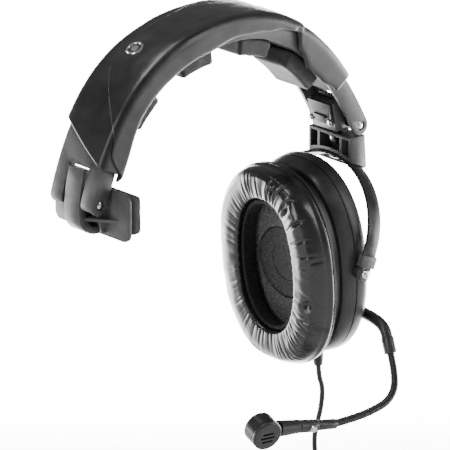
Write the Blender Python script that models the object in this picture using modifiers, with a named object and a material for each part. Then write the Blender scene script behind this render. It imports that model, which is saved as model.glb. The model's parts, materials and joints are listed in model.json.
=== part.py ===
"""Single-sided intercom headset with a boom microphone, built up from its separate pieces.

Frame: metres, +Z up. The origin is the underside of the headband's crown, where it rests on the head.
+X points to the ear cup, -X to the temple pad, and -Y is the wearer's front.
"""

import math

import bmesh
import bpy
from mathutils import Matrix, Vector

# ---- driving dimensions, in metres ------------------------------------------------------------

GAP = 0.0003

# The headband's outer surface, seen from the front: one cubic curve from the crown to each leg's end.
# The ear cup's weight pulls its leg straighter than the other. Each row is crown pull, leg pull, end.
CROWN = Vector((0.0, 0.010))
LEFT_CURVE = (Vector((0.0527, 0.010)), Vector((0.0793, -0.0145)), Vector((0.0942, -0.0630)))
RIGHT_CURVE = (Vector((0.0369, 0.010)), Vector((0.0682, -0.0140)), Vector((0.0931, -0.0622)))
BAND_WIDTH = 0.031
BAND_DEPTH = 0.010
BAND_WALL = 0.0024
FLANGE_WALL = 0.0023
SLOT_HALF_WIDTH = 0.007
SLOT_TOP_Z = -0.0473

COVER_THICKNESS = 0.0024
COVER_SIDE_THICKNESS = 0.0018
COVER_DEPTH = 0.0112
COVER_LEFT_END = -0.90
COVER_RIGHT_END = 0.79
LINER_THICKNESS = 0.0016
LINER_END = 0.80

HEAD_PAD_THICKNESS = 0.0092
HEAD_PAD_WIDTH = 0.025
HEAD_PADS = {
    "head_pad_left_outer": (-0.0745, -0.0570),
    "head_pad_left_inner": (-0.0365, -0.0120),
    "head_pad_right_inner": (0.0085, 0.0340),
    "head_pad_right_outer": (0.0488, 0.0700),
}

SNAP_X = {"left": -0.0480, "right": 0.0365}
SNAP_Y = 0.0025
SNAP_HOLE_RADIUS = 0.0025

PIN_RADIUS = 0.0020
PIN_HOLE_RADIUS = 0.00235
PIN_X = 0.0888
PIN_Z = -0.0644

TONGUE_WIDTH = 0.0112
TEMPLE_PLATE_HALF_WIDTH = 0.0272
TEMPLE_PLATE_HALF_HEIGHT = 0.01235

# The strap slides down and a little outwards, in line with the headband's leg.
STRAP_ORIGIN = Vector((0.0840, 0.0, -0.0700))
STRAP_TILT = -10.5
STRAP_THICKNESS = 0.0016
STRAP_HALF_WIDTH = 0.0056

BLOCK_ORIGIN = Vector((0.0816, 0.0, -0.0697))
BLOCK_DEPTH = 0.0310
BLOCK_WIDTH = 0.0102
BLOCK_HEIGHT = 0.0183

# The yoke leans in, so that the cup hangs under the head's side and not under the headband's leg.
PIVOT = Vector((0.0664, 0.0, -0.1323))
YOKE_TILT = 21.5
YOKE_RADIUS = 0.0410
YOKE_LEG = 0.0122
YOKE_WIDTH = 0.0085
YOKE_THICKNESS = 0.0016

CUP_TILT = -4.0
CUP_POINTS = 48
CUP_SQUARENESS = 2.3
CUSHION_FACE = -0.0312
CUSHION_BACK = -0.0184
CUSHION_LEAN = 0.05
HUB_Y = -0.0040
HUB_Z = -0.0288
HUB_RADIUS = 0.0085

BOOM_RADIUS = 0.0030
GOOSENECK_RADIUS = 0.00195
MIC_CENTRE = Vector((-0.0210, -0.0595, -0.1887))
MIC_FACING = Vector((-0.20, -0.95, -0.24)).normalized()
MIC_RADIUS = 0.0081

CORD_RADIUS = 0.0014
COIL_CENTRE = Vector((0.0560, 0.0060, -0.2694))
COIL_RADIUS = 0.0155
COIL_HALF_WIDTH = 0.0058
COIL_HALF_HEIGHT = 0.0056
PLUG_NOSE = Vector((0.0080, -0.0420, -0.2666))
PLUG_RADIUS = 0.0095
PLUG_LENGTH = 0.0540
BOOT_LENGTH = 0.0240

# Routes, each a list of points that a smooth curve runs through.
BOOM_ARM_ROUTE = [
    (0.0830, -0.0090, -0.1614),
    (0.0829, -0.0180, -0.1618),
    (0.0826, -0.0270, -0.1624),
    (0.0821, -0.0344, -0.1632),
    (0.0818, -0.0393, -0.1648),
    (0.0816, -0.0421, -0.1673),
    (0.08147, -0.0433, -0.1696),
]
BOOM_SLEEVE = ((0.0814, -0.0435, -0.1701), (0.0804, -0.0473, -0.1777))
GOOSENECK_ROUTE = [
    (0.0803, -0.0475, -0.1780),
    (0.0780, -0.0523, -0.1867),
    (0.0735, -0.0566, -0.1927),
    (0.0650, -0.0598, -0.1964),
    (0.0520, -0.0617, -0.1974),
    (0.0400, -0.0627, -0.1972),
    (0.0256, -0.0630, -0.1964),
]
END_SLEEVE = ((0.0253, -0.0630, -0.1964), (0.0128, -0.0624, -0.1941))
MIC_COLLAR = ((0.0125, -0.0624, -0.1940), (0.0002, -0.0620, -0.1912))
CORD_DROP_ROUTE = [
    (0.0747, 0.0, -0.1965),
    (0.0756, 0.0, -0.2030),
    (0.0775, 0.0, -0.2095),
    (0.0765, 0.0, -0.2210),
    (0.0749, 0.0, -0.2262),
    (0.0727, 0.0, -0.2334),
    (0.0713, -0.0010, -0.2385),
    (0.0702, -0.0030, -0.2440),
    (0.0698, -0.0060, -0.2500),
    (0.0702, -0.0070, -0.2555),
    (0.0710, -0.0035, -0.2602),
    (0.0714, 0.0030, -0.2618),
    (0.0712, 0.0090, -0.2621),
]
CORD_TAIL_ROUTE = [
    (0.0600, -0.0171, -0.2745),
    (0.0720, -0.0172, -0.2747),
    (0.0860, -0.0176, -0.2747),
    (0.0975, -0.0195, -0.2740),
    (0.1045, -0.0250, -0.2720),
    (0.1060, -0.0325, -0.2695),
    (0.1010, -0.0390, -0.2675),
    (0.0930, -0.0418, -0.2667),
    (0.0826, -0.0420, -0.2666),
]

# Finishes: colour, roughness, metallic.
HARD_PLASTIC = ((0.045, 0.045, 0.047, 1.0), 0.45, 0.0)
SOFT_TOUCH = ((0.030, 0.030, 0.031, 1.0), 0.55, 0.0)
LEATHERETTE = ((0.022, 0.022, 0.023, 1.0), 0.35, 0.0)
FOAM = ((0.020, 0.020, 0.020, 1.0), 0.95, 0.0)
BLACK_STEEL = ((0.050, 0.050, 0.053, 1.0), 0.35, 0.7)
NICKEL = ((0.75, 0.75, 0.76, 1.0), 0.15, 1.0)
GRILLE_CLOTH = ((0.100, 0.100, 0.105, 1.0), 0.8, 0.0)
CORD_RUBBER = ((0.025, 0.025, 0.026, 1.0), 0.5, 0.0)
MAGNET_STEEL = ((0.35, 0.35, 0.36, 1.0), 0.3, 1.0)


# ---- helpers ----------------------------------------------------------------------------------


def clear_scene():
    for obj in list(bpy.data.objects):
        bpy.data.objects.remove(obj, do_unlink=True)


def new_collection(name):
    collection = bpy.data.collections.new(name)
    bpy.context.scene.collection.children.link(collection)
    return collection


clear_scene()
PARTS = new_collection("headset_microphone")
CUTTERS = new_collection("cutters")


def add(name, data, parent=None, at=(0.0, 0.0, 0.0), turn=(0.0, 0.0, 0.0)):
    """Put a mesh or curve in the parts collection, placed under its parent; turn is in degrees."""
    obj = bpy.data.objects.new(name, data)
    PARTS.objects.link(obj)
    obj.parent = parent
    obj.location = at
    obj.rotation_euler = [math.radians(angle) for angle in turn]
    return obj


def frame_at(name, at, tilt=0.0):
    """An empty on a joint's axis, tilted about Y, that pieces are placed under."""
    empty = bpy.data.objects.new(name, None)
    CUTTERS.objects.link(empty)
    empty.hide_render = True
    empty.location = at
    empty.rotation_euler = (0.0, math.radians(tilt), 0.0)
    bpy.context.view_layer.update()
    return empty


def in_frame(frame, points):
    """World points as points of a frame."""
    inverse = frame.matrix_world.inverted()
    return [inverse @ Vector(point) for point in points]


def paint(obj, finish):
    colour, roughness, metallic = finish
    material = bpy.data.materials.new(obj.name)
    material.use_nodes = True
    shader = material.node_tree.nodes["Principled BSDF"]
    shader.inputs["Base Color"].default_value = colour
    shader.inputs["Roughness"].default_value = roughness
    shader.inputs["Metallic"].default_value = metallic
    obj.data.materials.append(material)


def smooth(obj):
    obj.data.shade_smooth()
    obj.data.set_sharp_from_angle(angle=math.radians(35))


def box(name, size, **place):
    bm = bmesh.new()
    bmesh.ops.create_cube(bm, size=1.0)
    bmesh.ops.scale(bm, vec=size, verts=bm.verts)
    mesh = bpy.data.meshes.new(name)
    bm.to_mesh(mesh)
    bm.free()
    return add(name, mesh, **place)


def rod(name, radius, length, end_radius=None, sides=24, **place):
    """A cylinder or cone along local Z, centred on its origin."""
    bm = bmesh.new()
    top = radius if end_radius is None else end_radius
    bmesh.ops.create_cone(
        bm, cap_ends=True, segments=sides, radius1=radius, radius2=top, depth=length
    )
    mesh = bpy.data.meshes.new(name)
    bm.to_mesh(mesh)
    bm.free()
    obj = add(name, mesh, **place)
    smooth(obj)
    return obj


def rod_between(name, start, end, radius, end_radius=None, parent=None, sides=20):
    """A straight rod from start to end, both world points."""
    first, last = in_frame(parent, (start, end))
    obj = rod(name, radius, (last - first).length, end_radius, sides, parent=parent)
    obj.location = (first + last) / 2
    obj.rotation_euler = (last - first).to_track_quat("Z", "Y").to_euler()
    return obj


def turned(name, profile, steps=28, **place):
    """A profile of (radius, height) points turned about local Z, outer side from top to bottom."""
    mesh = bpy.data.meshes.new(name)
    vertices = [(radius, 0.0, height) for radius, height in profile]
    mesh.from_pydata(vertices, [(i, i + 1) for i in range(len(vertices) - 1)], [])
    if profile[0][0] > 0.0 and profile[0] == profile[-1]:
        mesh.clear_geometry()
        count = len(profile) - 1
        mesh.from_pydata(vertices[:-1], [(i, (i + 1) % count) for i in range(count)], [])
    obj = add(name, mesh, **place)
    screw = obj.modifiers.new("turn", "SCREW")
    screw.steps = steps
    screw.render_steps = steps
    screw.use_merge_vertices = True
    screw.merge_threshold = 0.00001
    screw.use_smooth_shade = True
    return obj


FLAT_TURN = {"XZ": (90.0, 0.0, 0.0), "YZ": (90.0, 0.0, 90.0), "XY": (0.0, 0.0, 0.0)}


def outlined(name, outline, thickness, plane, **place):
    """A flat outline in the plane named, given a thickness each side of its origin, as a mesh."""
    curve = bpy.data.curves.new(name, "CURVE")
    curve.dimensions = "2D"
    curve.fill_mode = "BOTH"
    curve.extrude = thickness / 2
    spline = curve.splines.new("POLY")
    spline.points.add(len(outline) - 1)
    for point, (u, v) in zip(spline.points, outline):
        point.co = (u, v, 0.0, 1.0)
    spline.use_cyclic_u = True
    flat = add(name, curve, turn=FLAT_TURN[plane], **place)
    return as_mesh(flat)


def as_mesh(flat):
    """The same object as a closed mesh, in place of the curve."""
    bpy.context.view_layer.update()
    graph = bpy.context.evaluated_depsgraph_get()
    mesh = bpy.data.meshes.new_from_object(flat.evaluated_get(graph))
    bm = bmesh.new()
    bm.from_mesh(mesh)
    bmesh.ops.remove_doubles(bm, verts=bm.verts, dist=0.000001)
    bmesh.ops.recalc_face_normals(bm, faces=bm.faces)
    bm.to_mesh(mesh)
    bm.free()
    solid = bpy.data.objects.new(flat.name, mesh)
    PARTS.objects.link(solid)
    solid.parent = flat.parent
    solid.location = flat.location
    solid.rotation_euler = flat.rotation_euler
    name = flat.name
    bpy.data.objects.remove(flat)
    solid.name = name
    return solid


def as_cutter(obj):
    for collection in list(obj.users_collection):
        collection.objects.unlink(obj)
    CUTTERS.objects.link(obj)
    obj.hide_render = True
    obj.display_type = "WIRE"
    return obj


def boolean(obj, other, operation):
    modifier = obj.modifiers.new(operation.lower(), "BOOLEAN")
    modifier.operation = operation
    modifier.solver = "EXACT"
    modifier.object = as_cutter(other)


def cut(obj, *cutters):
    for cutter in cutters:
        boolean(obj, cutter, "DIFFERENCE")


def fuse(obj, *others):
    for other in others:
        boolean(obj, other, "UNION")


def round_edges(obj, width, segments=2):
    bevel = obj.modifiers.new("rounded_edges", "BEVEL")
    bevel.width = width
    bevel.segments = segments
    bevel.limit_method = "ANGLE"
    bevel.angle_limit = math.radians(40)
    return obj


def smooth_points(route, spacing):
    """Points about spacing apart on a smooth curve through a route's points."""
    route = [Vector(point) for point in route]
    ends = [2 * route[0] - route[1]] + route + [2 * route[-1] - route[-2]]
    points = []
    for before, start, end, after in zip(ends, ends[1:], ends[2:], ends[3:]):
        count = max(1, math.ceil((end - start).length / spacing))
        for i in range(count):
            t = i / count
            points.append(
                0.5
                * (
                    2 * start
                    + (end - before) * t
                    + (2 * before - 5 * start + 4 * end - after) * t * t
                    + (3 * start - before - 3 * end + after) * t * t * t
                )
            )
    points.append(route[-1])
    return points


def tube(name, route, radius, spacing, parent):
    """A round tube along a smooth curve through world points."""
    curve = bpy.data.curves.new(name, "CURVE")
    curve.dimensions = "3D"
    curve.bevel_depth = radius
    curve.bevel_resolution = 2
    curve.use_fill_caps = True
    points = in_frame(parent, smooth_points(route, spacing))
    spline = curve.splines.new("POLY")
    spline.points.add(len(points) - 1)
    for point, place in zip(spline.points, points):
        point.co = (place.x, place.y, place.z, 1.0)
    return add(name, curve, parent=parent)


def rounded_rectangle(half_width, half_height, radius, steps=5):
    outline = []
    for quarter, (side, up) in enumerate(((1, 1), (-1, 1), (-1, -1), (1, -1))):
        for step in range(steps + 1):
            angle = math.radians(90) * (quarter + step / steps)
            u = side * (half_width - radius) + radius * math.cos(angle)
            v = up * (half_height - radius) + radius * math.sin(angle)
            outline.append((u, v))
    return outline


# ---- the headband's arch ----------------------------------------------------------------------


def arch_point(t, depth=0.0, beyond=0.0):
    """A point of the headband's profile: t is -1 at the left end, 0 at the crown and 1 at the right."""
    u = abs(t)
    v = 1.0 - u
    pull, leg, end = LEFT_CURVE if t < 0.0 else RIGHT_CURVE
    place = v**3 * CROWN + 3 * v * v * u * pull + 3 * v * u * u * leg + u**3 * end
    along = v * v * (pull - CROWN) + 2 * v * u * (leg - pull) + u * u * (end - leg)
    along.normalize()
    inward = Vector((along.y, -along.x))
    place = place + depth * inward + beyond * along
    return (math.copysign(1.0, t) * place.x, place.y)


def arch_t(x):
    """The t of the headband's outer surface at x."""
    low, high = 0.0, 1.0
    for _ in range(40):
        middle = (low + high) / 2
        if abs(arch_point(math.copysign(middle, x))[0]) < abs(x):
            low = middle
        else:
            high = middle
    return math.copysign(low, x)


def arch_outline(start, end, outer_depth, inner_depth, count=20, beyond=0.0):
    """A strip of the arch between two depths; beyond makes both ends longer, in line with the leg."""
    values = [start + (end - start) * i / count for i in range(count + 1)]
    outer = [arch_point(t, outer_depth) for t in values]
    inner = [arch_point(t, inner_depth) for t in values]
    if beyond:
        outer = [arch_point(start, outer_depth, beyond)] + outer + [arch_point(end, outer_depth, beyond)]
        inner = [arch_point(start, inner_depth, beyond)] + inner + [arch_point(end, inner_depth, beyond)]
    return outer + inner[::-1]


def arch_slope(t):
    """How far the outer surface is turned about Y at t, in degrees."""
    outer = Vector(arch_point(t))
    inner = Vector(arch_point(t, 0.01))
    up = outer - inner
    return math.degrees(math.atan2(up.x, up.y))


def rounded_end(t, steps=8):
    """The half circle that closes the band's profile at one end, from its outer to its inner side."""
    points = []
    for step in range(1, steps):
        angle = math.pi * step / steps
        depth = BAND_DEPTH / 2 * (1 - math.cos(angle))
        points.append(arch_point(t, depth, BAND_DEPTH / 2 * math.sin(angle)))
    return points


def make_band():
    count = 36
    values = [-1 + 2 * i / count for i in range(count + 1)]
    outline = [arch_point(t) for t in values]
    outline += rounded_end(1.0)
    outline += [arch_point(t, BAND_DEPTH) for t in reversed(values)]
    outline += reversed(rounded_end(-1.0))
    band = outlined("band_shell", outline, BAND_WIDTH, "XZ")
    round_edges(band, 0.0009)
    inside = outlined(
        "band_inside",
        arch_outline(-1.0, 1.0, BAND_WALL, BAND_DEPTH + 0.006, count, beyond=0.012),
        BAND_WIDTH - 2 * FLANGE_WALL,
        "XZ",
    )
    cut(band, inside)
    for side in (-1, 1):
        slot = box(
            "fork_slot",
            (0.030, 2 * SLOT_HALF_WIDTH, 0.040),
            at=(side * 0.095, 0.0, SLOT_TOP_Z - 0.020),
        )
        hole = rod(
            "pin_hole", PIN_HOLE_RADIUS, 0.040, at=(side * PIN_X, 0.0, PIN_Z), turn=(90, 0, 0)
        )
        cut(band, slot, hole)
    paint(band, HARD_PLASTIC)
    smooth(band)


def make_cover():
    """The leatherette wrap: one skin over the band, its left end cut on the slant."""
    outer = arch_outline(
        COVER_LEFT_END, COVER_RIGHT_END, -GAP - COVER_THICKNESS, COVER_DEPTH, 32
    )
    inner_width = BAND_WIDTH + 2 * GAP
    cover = outlined("headband_cover", outer, inner_width + 2 * COVER_SIDE_THICKNESS, "XZ")
    round_edges(cover, 0.0010)
    inside = outlined(
        "cover_inside",
        arch_outline(COVER_LEFT_END, COVER_RIGHT_END, -GAP, COVER_DEPTH + 0.008, 32, beyond=0.010),
        inner_width,
        "XZ",
    )
    cut(cover, inside)
    slant = 28.4
    slant_middle_z = -0.0365
    half = 0.020
    lean = math.radians(slant)
    slant_cut = box(
        "cover_slant_cut",
        (0.080, 0.080, 2 * half),
        at=(-0.090, half * math.sin(lean), slant_middle_z - half * math.cos(lean)),
        turn=(slant, 0, 0),
    )
    cut(cover, slant_cut)
    for side, x in SNAP_X.items():
        t = arch_t(x)
        outer_x, outer_z = arch_point(t)
        hole = rod(
            "snap_hole_" + side,
            SNAP_HOLE_RADIUS,
            0.008,
            at=(outer_x, SNAP_Y, outer_z),
            turn=(0, arch_slope(t), 0),
        )
        # The hole stops short of the band, so it goes through the skin alone.
        cut(cover, hole)
    paint(cover, LEATHERETTE)
    smooth(cover)


def make_snaps():
    """Two press studs, each a cap with its post through the skin, down to the band."""
    post = COVER_THICKNESS + GAP
    profile = [
        (0.0, 0.0009), (0.0020, 0.0009), (0.0025, 0.0005), (0.0031, 0.0005), (0.0036, 0.0013),
        (0.0043, 0.0013), (0.0048, 0.0007), (0.0048, 0.0001), (0.0046, 0.0), (0.0021, 0.0),
        (0.0021, -post), (0.0, -post),
    ]
    for side, x in SNAP_X.items():
        t = arch_t(x)
        cap_x, cap_z = arch_point(t, -COVER_THICKNESS - 2 * GAP)
        snap = turned(
            "snap_" + side, profile, 24, at=(cap_x, SNAP_Y, cap_z), turn=(0, arch_slope(t), 0)
        )
        paint(snap, NICKEL)


def make_liner_and_pads():
    liner = outlined(
        "channel_liner",
        arch_outline(-LINER_END, LINER_END, BAND_DEPTH - LINER_THICKNESS, BAND_DEPTH, 26),
        BAND_WIDTH - 2 * FLANGE_WALL - 2 * GAP,
        "XZ",
    )
    paint(liner, SOFT_TOUCH)
    smooth(liner)
    for name, (start_x, end_x) in HEAD_PADS.items():
        outline = arch_outline(
            arch_t(start_x),
            arch_t(end_x),
            BAND_DEPTH + GAP,
            BAND_DEPTH + GAP + HEAD_PAD_THICKNESS,
            5,
        )
        pad = outlined(name, outline, HEAD_PAD_WIDTH, "XZ")
        round_edges(pad, 0.0012)
        paint(pad, FOAM)
        smooth(pad)


def make_pins():
    half = BAND_WIDTH / 2
    profile = [
        (0.0, half), (0.0012, half - 0.0001), (0.0018, half - 0.0005), (PIN_RADIUS, half - 0.0011),
        (PIN_RADIUS, 0.0011 - half), (0.0018, 0.0005 - half), (0.0012, 0.0001 - half), (0.0, -half),
    ]
    for side, x in (("left", -PIN_X), ("right", PIN_X)):
        pin = turned("fork_pin_" + side, profile, 20, at=(x, 0.0, PIN_Z), turn=(90, 0, 0))
        paint(pin, NICKEL)


# ---- the temple pad ---------------------------------------------------------------------------


def make_temple_arm(frame):
    """The arm: a tongue in the fork's slot that curls under into an upright plate."""
    outer = smooth_points(
        [
            (-0.0018, 0.0164), (-0.0039, 0.0074), (-0.0050, 0.0), (-0.0053, -0.0056),
            (-0.0044, -0.0114), (-0.0014, -0.0156), (0.0034, -0.0181), (0.0086, -0.0186),
        ],
        0.0035,
    )
    inner = smooth_points(
        [
            (0.0086, -0.0150), (0.0046, -0.0146), (0.0014, -0.0124), (-0.0006, -0.0090),
            (-0.0013, -0.0050), (-0.0011, 0.0), (0.0000, 0.0080), (0.0022, 0.0156),
        ],
        0.0035,
    )
    outline = [(point.x, point.y) for point in outer + inner]
    arm = outlined("temple_arm", outline, TONGUE_WIDTH, "XZ", parent=frame)
    round_edges(arm, 0.0005)
    plate_outline = rounded_rectangle(TEMPLE_PLATE_HALF_WIDTH, TEMPLE_PLATE_HALF_HEIGHT, 0.004)
    plate = outlined(
        "temple_plate", plate_outline, 0.0022, "YZ", parent=frame, at=(0.0087, 0.0, -0.00625)
    )
    round_edges(plate, 0.0005)
    barrel = rod("temple_barrel", 0.0043, 0.0126, parent=frame, turn=(90, 0, 0))
    shelf = outlined(
        "temple_shelf",
        [(0.0085, -0.0210), (-0.0020, -0.0050), (-0.0020, 0.0050), (0.0085, 0.0210)],
        0.0015,
        "XY",
        parent=frame,
        at=(0.0, 0.0, -0.0092),
    )
    fuse(arm, plate, barrel, shelf)
    for y in (-0.0098, 0.0098):
        rib = outlined(
            "temple_rib",
            [(0.0085, -0.0090), (0.0034, -0.0090), (0.0052, -0.0165), (0.0085, -0.0170)],
            0.0015,
            "XZ",
            parent=frame,
            at=(0.0, y, 0.0),
        )
        fuse(arm, rib)
    cut(arm, rod("temple_bore", PIN_HOLE_RADIUS, 0.030, parent=frame, turn=(90, 0, 0)))
    paint(arm, HARD_PLASTIC)
    smooth(arm)


def make_temple_pad(frame):
    pad = box("temple_pad", (0.0066, 0.0550, 0.0200), parent=frame, at=(0.0134, 0.0, -0.0056))
    round_edges(pad, 0.0020, 3)
    paint(pad, FOAM)
    smooth(pad)


# ---- the slider -------------------------------------------------------------------------------


def make_slider_guide(frame):
    """The guide turns on the right fork's pin; the strap slides in its channel."""
    pin_x, pin_z = 0.00574, 0.00463
    guide = box("slider_guide", (0.0063, 0.0180, 0.0160), parent=frame, at=(-0.00225, 0.0, 0.0120))
    round_edges(guide, 0.0004, 1)
    back = box("guide_back", (0.0030, 0.0134, 0.0160), parent=frame, at=(0.0012, 0.0, 0.0120))
    tongue = box("guide_tongue", (0.0046, 0.0112, 0.0060), parent=frame, at=(0.0045, 0.0, 0.0068))
    barrel = rod(
        "guide_barrel", 0.0041, 0.0126, parent=frame, at=(pin_x, 0.0, pin_z), turn=(90, 0, 0)
    )
    fuse(guide, back, tongue, barrel)
    channel = box("guide_channel", (0.0022, 0.0118, 0.0400), parent=frame, at=(0.0, 0.0, 0.0120))
    bore = rod(
        "guide_bore", PIN_HOLE_RADIUS, 0.030, parent=frame, at=(pin_x, 0.0, pin_z), turn=(90, 0, 0)
    )
    cut(guide, channel, bore)
    for y in (-0.0068, 0.0068):
        place = (-0.0054, y, 0.0098)
        hole = rod("guide_screw_hole", 0.0010, 0.0050, sides=12, parent=frame, at=place, turn=(0, 90, 0))
        cut(guide, hole)
    paint(guide, SOFT_TOUCH)
    smooth(guide)


def make_retainer(frame):
    plate = box("retainer_plate", (0.0014, 0.0164, 0.0122), parent=frame, at=(-0.0064, 0.0, 0.0141))
    round_edges(plate, 0.0003, 1)
    ridge = box("retainer_ridge", (0.0014, 0.0084, 0.0016), parent=frame, at=(-0.0074, 0.0, 0.0122))
    fuse(plate, ridge)
    for y in (-0.0068, 0.0068):
        place = (-0.0064, y, 0.0098)
        hole = rod("retainer_hole", 0.0010, 0.0050, sides=12, parent=frame, at=place, turn=(0, 90, 0))
        cut(plate, hole)
    paint(plate, BLACK_STEEL)
    smooth(plate)
    screw = [
        (0.0, 0.0009), (0.0009, 0.0008), (0.0015, 0.0004), (0.0016, 0.0), (0.0007, 0.0),
        (0.0007, -0.0032), (0.0, -0.0032),
    ]
    for side, y in (("front", -0.0068), ("rear", 0.0068)):
        head = turned(
            "guide_screw_" + side, screw, 14, parent=frame, at=(-0.0074, y, 0.0098), turn=(0, -90, 0)
        )
        paint(head, NICKEL)


def make_strap(frame):
    size = (STRAP_THICKNESS, 2 * STRAP_HALF_WIDTH, 0.0245)
    strap = box("slide_strap", size, parent=frame, at=(0.0, 0.0, 0.00975))
    tongue = box("strap_tongue", (STRAP_THICKNESS, 0.0048, 0.0050), parent=frame, at=(0.0, 0.0, -0.0040))
    fuse(strap, tongue)
    hole = rod("strap_hole", 0.0010, 0.005, sides=12, parent=frame, at=(0, 0, -0.0036), turn=(0, 90, 0))
    cut(strap, hole)
    paint(strap, BLACK_STEEL)
    screw = [
        (0.0, 0.0008), (0.0009, 0.0007), (0.0015, 0.0003), (0.0016, 0.0), (0.0007, 0.0),
        (0.0007, -0.0050), (0.0, -0.0050),
    ]
    head = turned(
        "strap_screw", screw, 14, parent=frame, at=(-0.0011, 0.0, -0.0036), turn=(0, -90, 0)
    )
    paint(head, NICKEL)


def arch_cylinder(name, radius, length, frame):
    """A cylinder round the yoke's arch, for cutting what sits on the yoke, from its inner side outwards."""
    start = -0.030
    middle = start + length / 2
    return rod(
        name, radius, length, sides=96, parent=frame, at=(middle, 0.0, YOKE_LEG), turn=(0, 90, 0)
    )


def make_block(frame, yoke_frame):
    """The block that joins strap and yoke: a ribbed shell, open to the head, hollowed to fit the yoke."""
    wide, deep, tall = BLOCK_WIDTH, BLOCK_DEPTH, BLOCK_HEIGHT
    flare = 0.0014
    wall = 0.0016
    rib_y = 0.0080
    outer_radius = YOKE_RADIUS + YOKE_THICKNESS / 2
    outline = [(0.0, 0.0), (wide, 0.0), (wide + flare, -tall), (0.0, -tall)]
    block = outlined("yoke_block", outline, deep, "XZ", parent=frame)
    round_edges(block, 0.0006)
    cut(block, arch_cylinder("block_arch_cut", outer_radius + GAP, 0.0345, yoke_frame))
    pockets = {
        "rear": (rib_y + wall / 2, deep / 2 - wall),
        "middle": (-rib_y + wall / 2, rib_y - wall / 2),
        "front": (wall - deep / 2, -rib_y - wall / 2),
    }
    floor = arch_cylinder("block_floor", outer_radius + GAP + wall, 0.0500, yoke_frame)
    reach = wide - wall
    for side, (start, end) in pockets.items():
        pocket = box(
            "pocket_" + side,
            (reach + 0.002, end - start, tall),
            parent=frame,
            at=(reach / 2 - 0.001, (start + end) / 2, -tall / 2 - wall),
        )
        cut(pocket, floor)
        cut(block, pocket)
    slot = box(
        "strap_slot",
        (STRAP_THICKNESS + 0.0012, 2 * STRAP_HALF_WIDTH + 2 * GAP, 0.0060),
        parent=frame,
        at=(STRAP_ORIGIN.x - BLOCK_ORIGIN.x, 0.0, -0.0010),
    )
    rivet_hole = rod(
        "block_rivet_hole", 0.0018, 0.008, parent=yoke_frame, at=(0, 0, YOKE_LEG + YOKE_RADIUS)
    )
    cut(block, slot, rivet_hole)
    paint(block, HARD_PLASTIC)


def make_yoke(frame):
    steps = 36
    foot = 0.0037

    def half_ring(radius):
        angles = [math.pi * i / steps for i in range(steps + 1)]
        ring = [(radius * math.cos(a), YOKE_LEG + radius * math.sin(a)) for a in angles]
        return [(radius, foot)] + ring + [(-radius, foot)]

    outer = half_ring(YOKE_RADIUS + YOKE_THICKNESS / 2)
    inner = half_ring(YOKE_RADIUS - YOKE_THICKNESS / 2)
    yoke = outlined("yoke_band", outer + inner[::-1], YOKE_WIDTH, "YZ", parent=frame)
    top = YOKE_LEG + YOKE_RADIUS
    cut(yoke, rod("yoke_rivet_hole", 0.0018, 0.008, sides=16, parent=frame, at=(0, 0, top)))
    paint(yoke, BLACK_STEEL)
    smooth(yoke)
    head_z = top - YOKE_THICKNESS / 2 - GAP
    rivet = turned(
        "yoke_rivet",
        [
            (0.0, 0.0033), (0.0014, 0.0033), (0.0014, 0.0), (0.0030, -0.0001), (0.0027, -0.0006),
            (0.0016, -0.0010), (0.0, -0.0011),
        ],
        20,
        parent=frame,
        at=(0, 0, head_z),
    )
    paint(rivet, BLACK_STEEL)


def make_yoke_end(side, sign, frame):
    """The moulded end that takes the yoke's foot and carries the pivot screw."""
    y = sign * YOKE_RADIUS
    end = box("yoke_end_" + side, (0.0100, 0.0038, 0.0062), parent=frame, at=(0.0, y, 0.0064))
    round_edges(end, 0.0005)
    lug_y = sign * (YOKE_RADIUS + 0.0001)
    lug = rod("lug_" + side, 0.0037, 0.0024, parent=frame, at=(0, lug_y, 0), turn=(90, 0, 0))
    web = box("web_" + side, (0.0060, 0.0024, 0.0050), parent=frame, at=(0, lug_y, 0.0025))
    fuse(end, lug, web)
    foot = box("foot_pocket_" + side, (0.0092, 0.0023, 0.0080), parent=frame, at=(0, y, 0.0074))
    bore = rod("lug_bore_" + side, 0.0016, 0.010, sides=16, parent=frame, at=(0, lug_y, 0), turn=(90, 0, 0))
    cut(end, foot, bore)
    paint(end, HARD_PLASTIC)
    smooth(end)
    screw = [
        (0.0, 0.0014), (0.0014, 0.0013), (0.0023, 0.0008), (0.0026, 0.0), (0.0013, 0.0),
        (0.0013, -0.0060), (0.0, -0.0060),
    ]
    head_y = sign * (abs(lug_y) + 0.0012 + GAP)
    head = turned(
        "pivot_screw_" + side, screw, 18, parent=frame, at=(0, head_y, 0), turn=(-90 * sign, 0, 0)
    )
    paint(head, NICKEL)


# ---- the ear cup ------------------------------------------------------------------------------


def oval_loft(name, sections, parent, closed=False, lean=0.0):
    """A loft of rounded ovals along local X; each section is (x, half width, half height, middle).

    lean makes the loft thinner towards the rear, in proportion to how far a section is from the flange.
    """
    bm = bmesh.new()
    rings = []
    power = 2 / CUP_SQUARENESS
    for x, half_y, half_z, middle in sections:
        ring = []
        share = lean * max(0.0, CUSHION_BACK - x) / (CUSHION_BACK - CUSHION_FACE)
        for i in range(CUP_POINTS):
            angle = 2 * math.pi * i / CUP_POINTS
            c, s = math.cos(angle), math.sin(angle)
            y = half_y * math.copysign(abs(c) ** power, c)
            z = half_z * math.copysign(abs(s) ** power, s)
            ring.append(bm.verts.new((x + share * y, y, middle + z)))
        rings.append(ring)
    pairs = list(zip(rings, rings[1:]))
    if closed:
        pairs.append((rings[-1], rings[0]))
    else:
        bm.faces.new(rings[0])
        bm.faces.new(rings[-1])
    for first, second in pairs:
        for i in range(CUP_POINTS):
            j = (i + 1) % CUP_POINTS
            bm.faces.new((first[i], first[j], second[j], second[i]))
    bmesh.ops.recalc_face_normals(bm, faces=bm.faces)
    mesh = bpy.data.meshes.new(name)
    bm.to_mesh(mesh)
    bm.free()
    obj = add(name, mesh, parent=parent)
    smooth(obj)
    return obj


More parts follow.
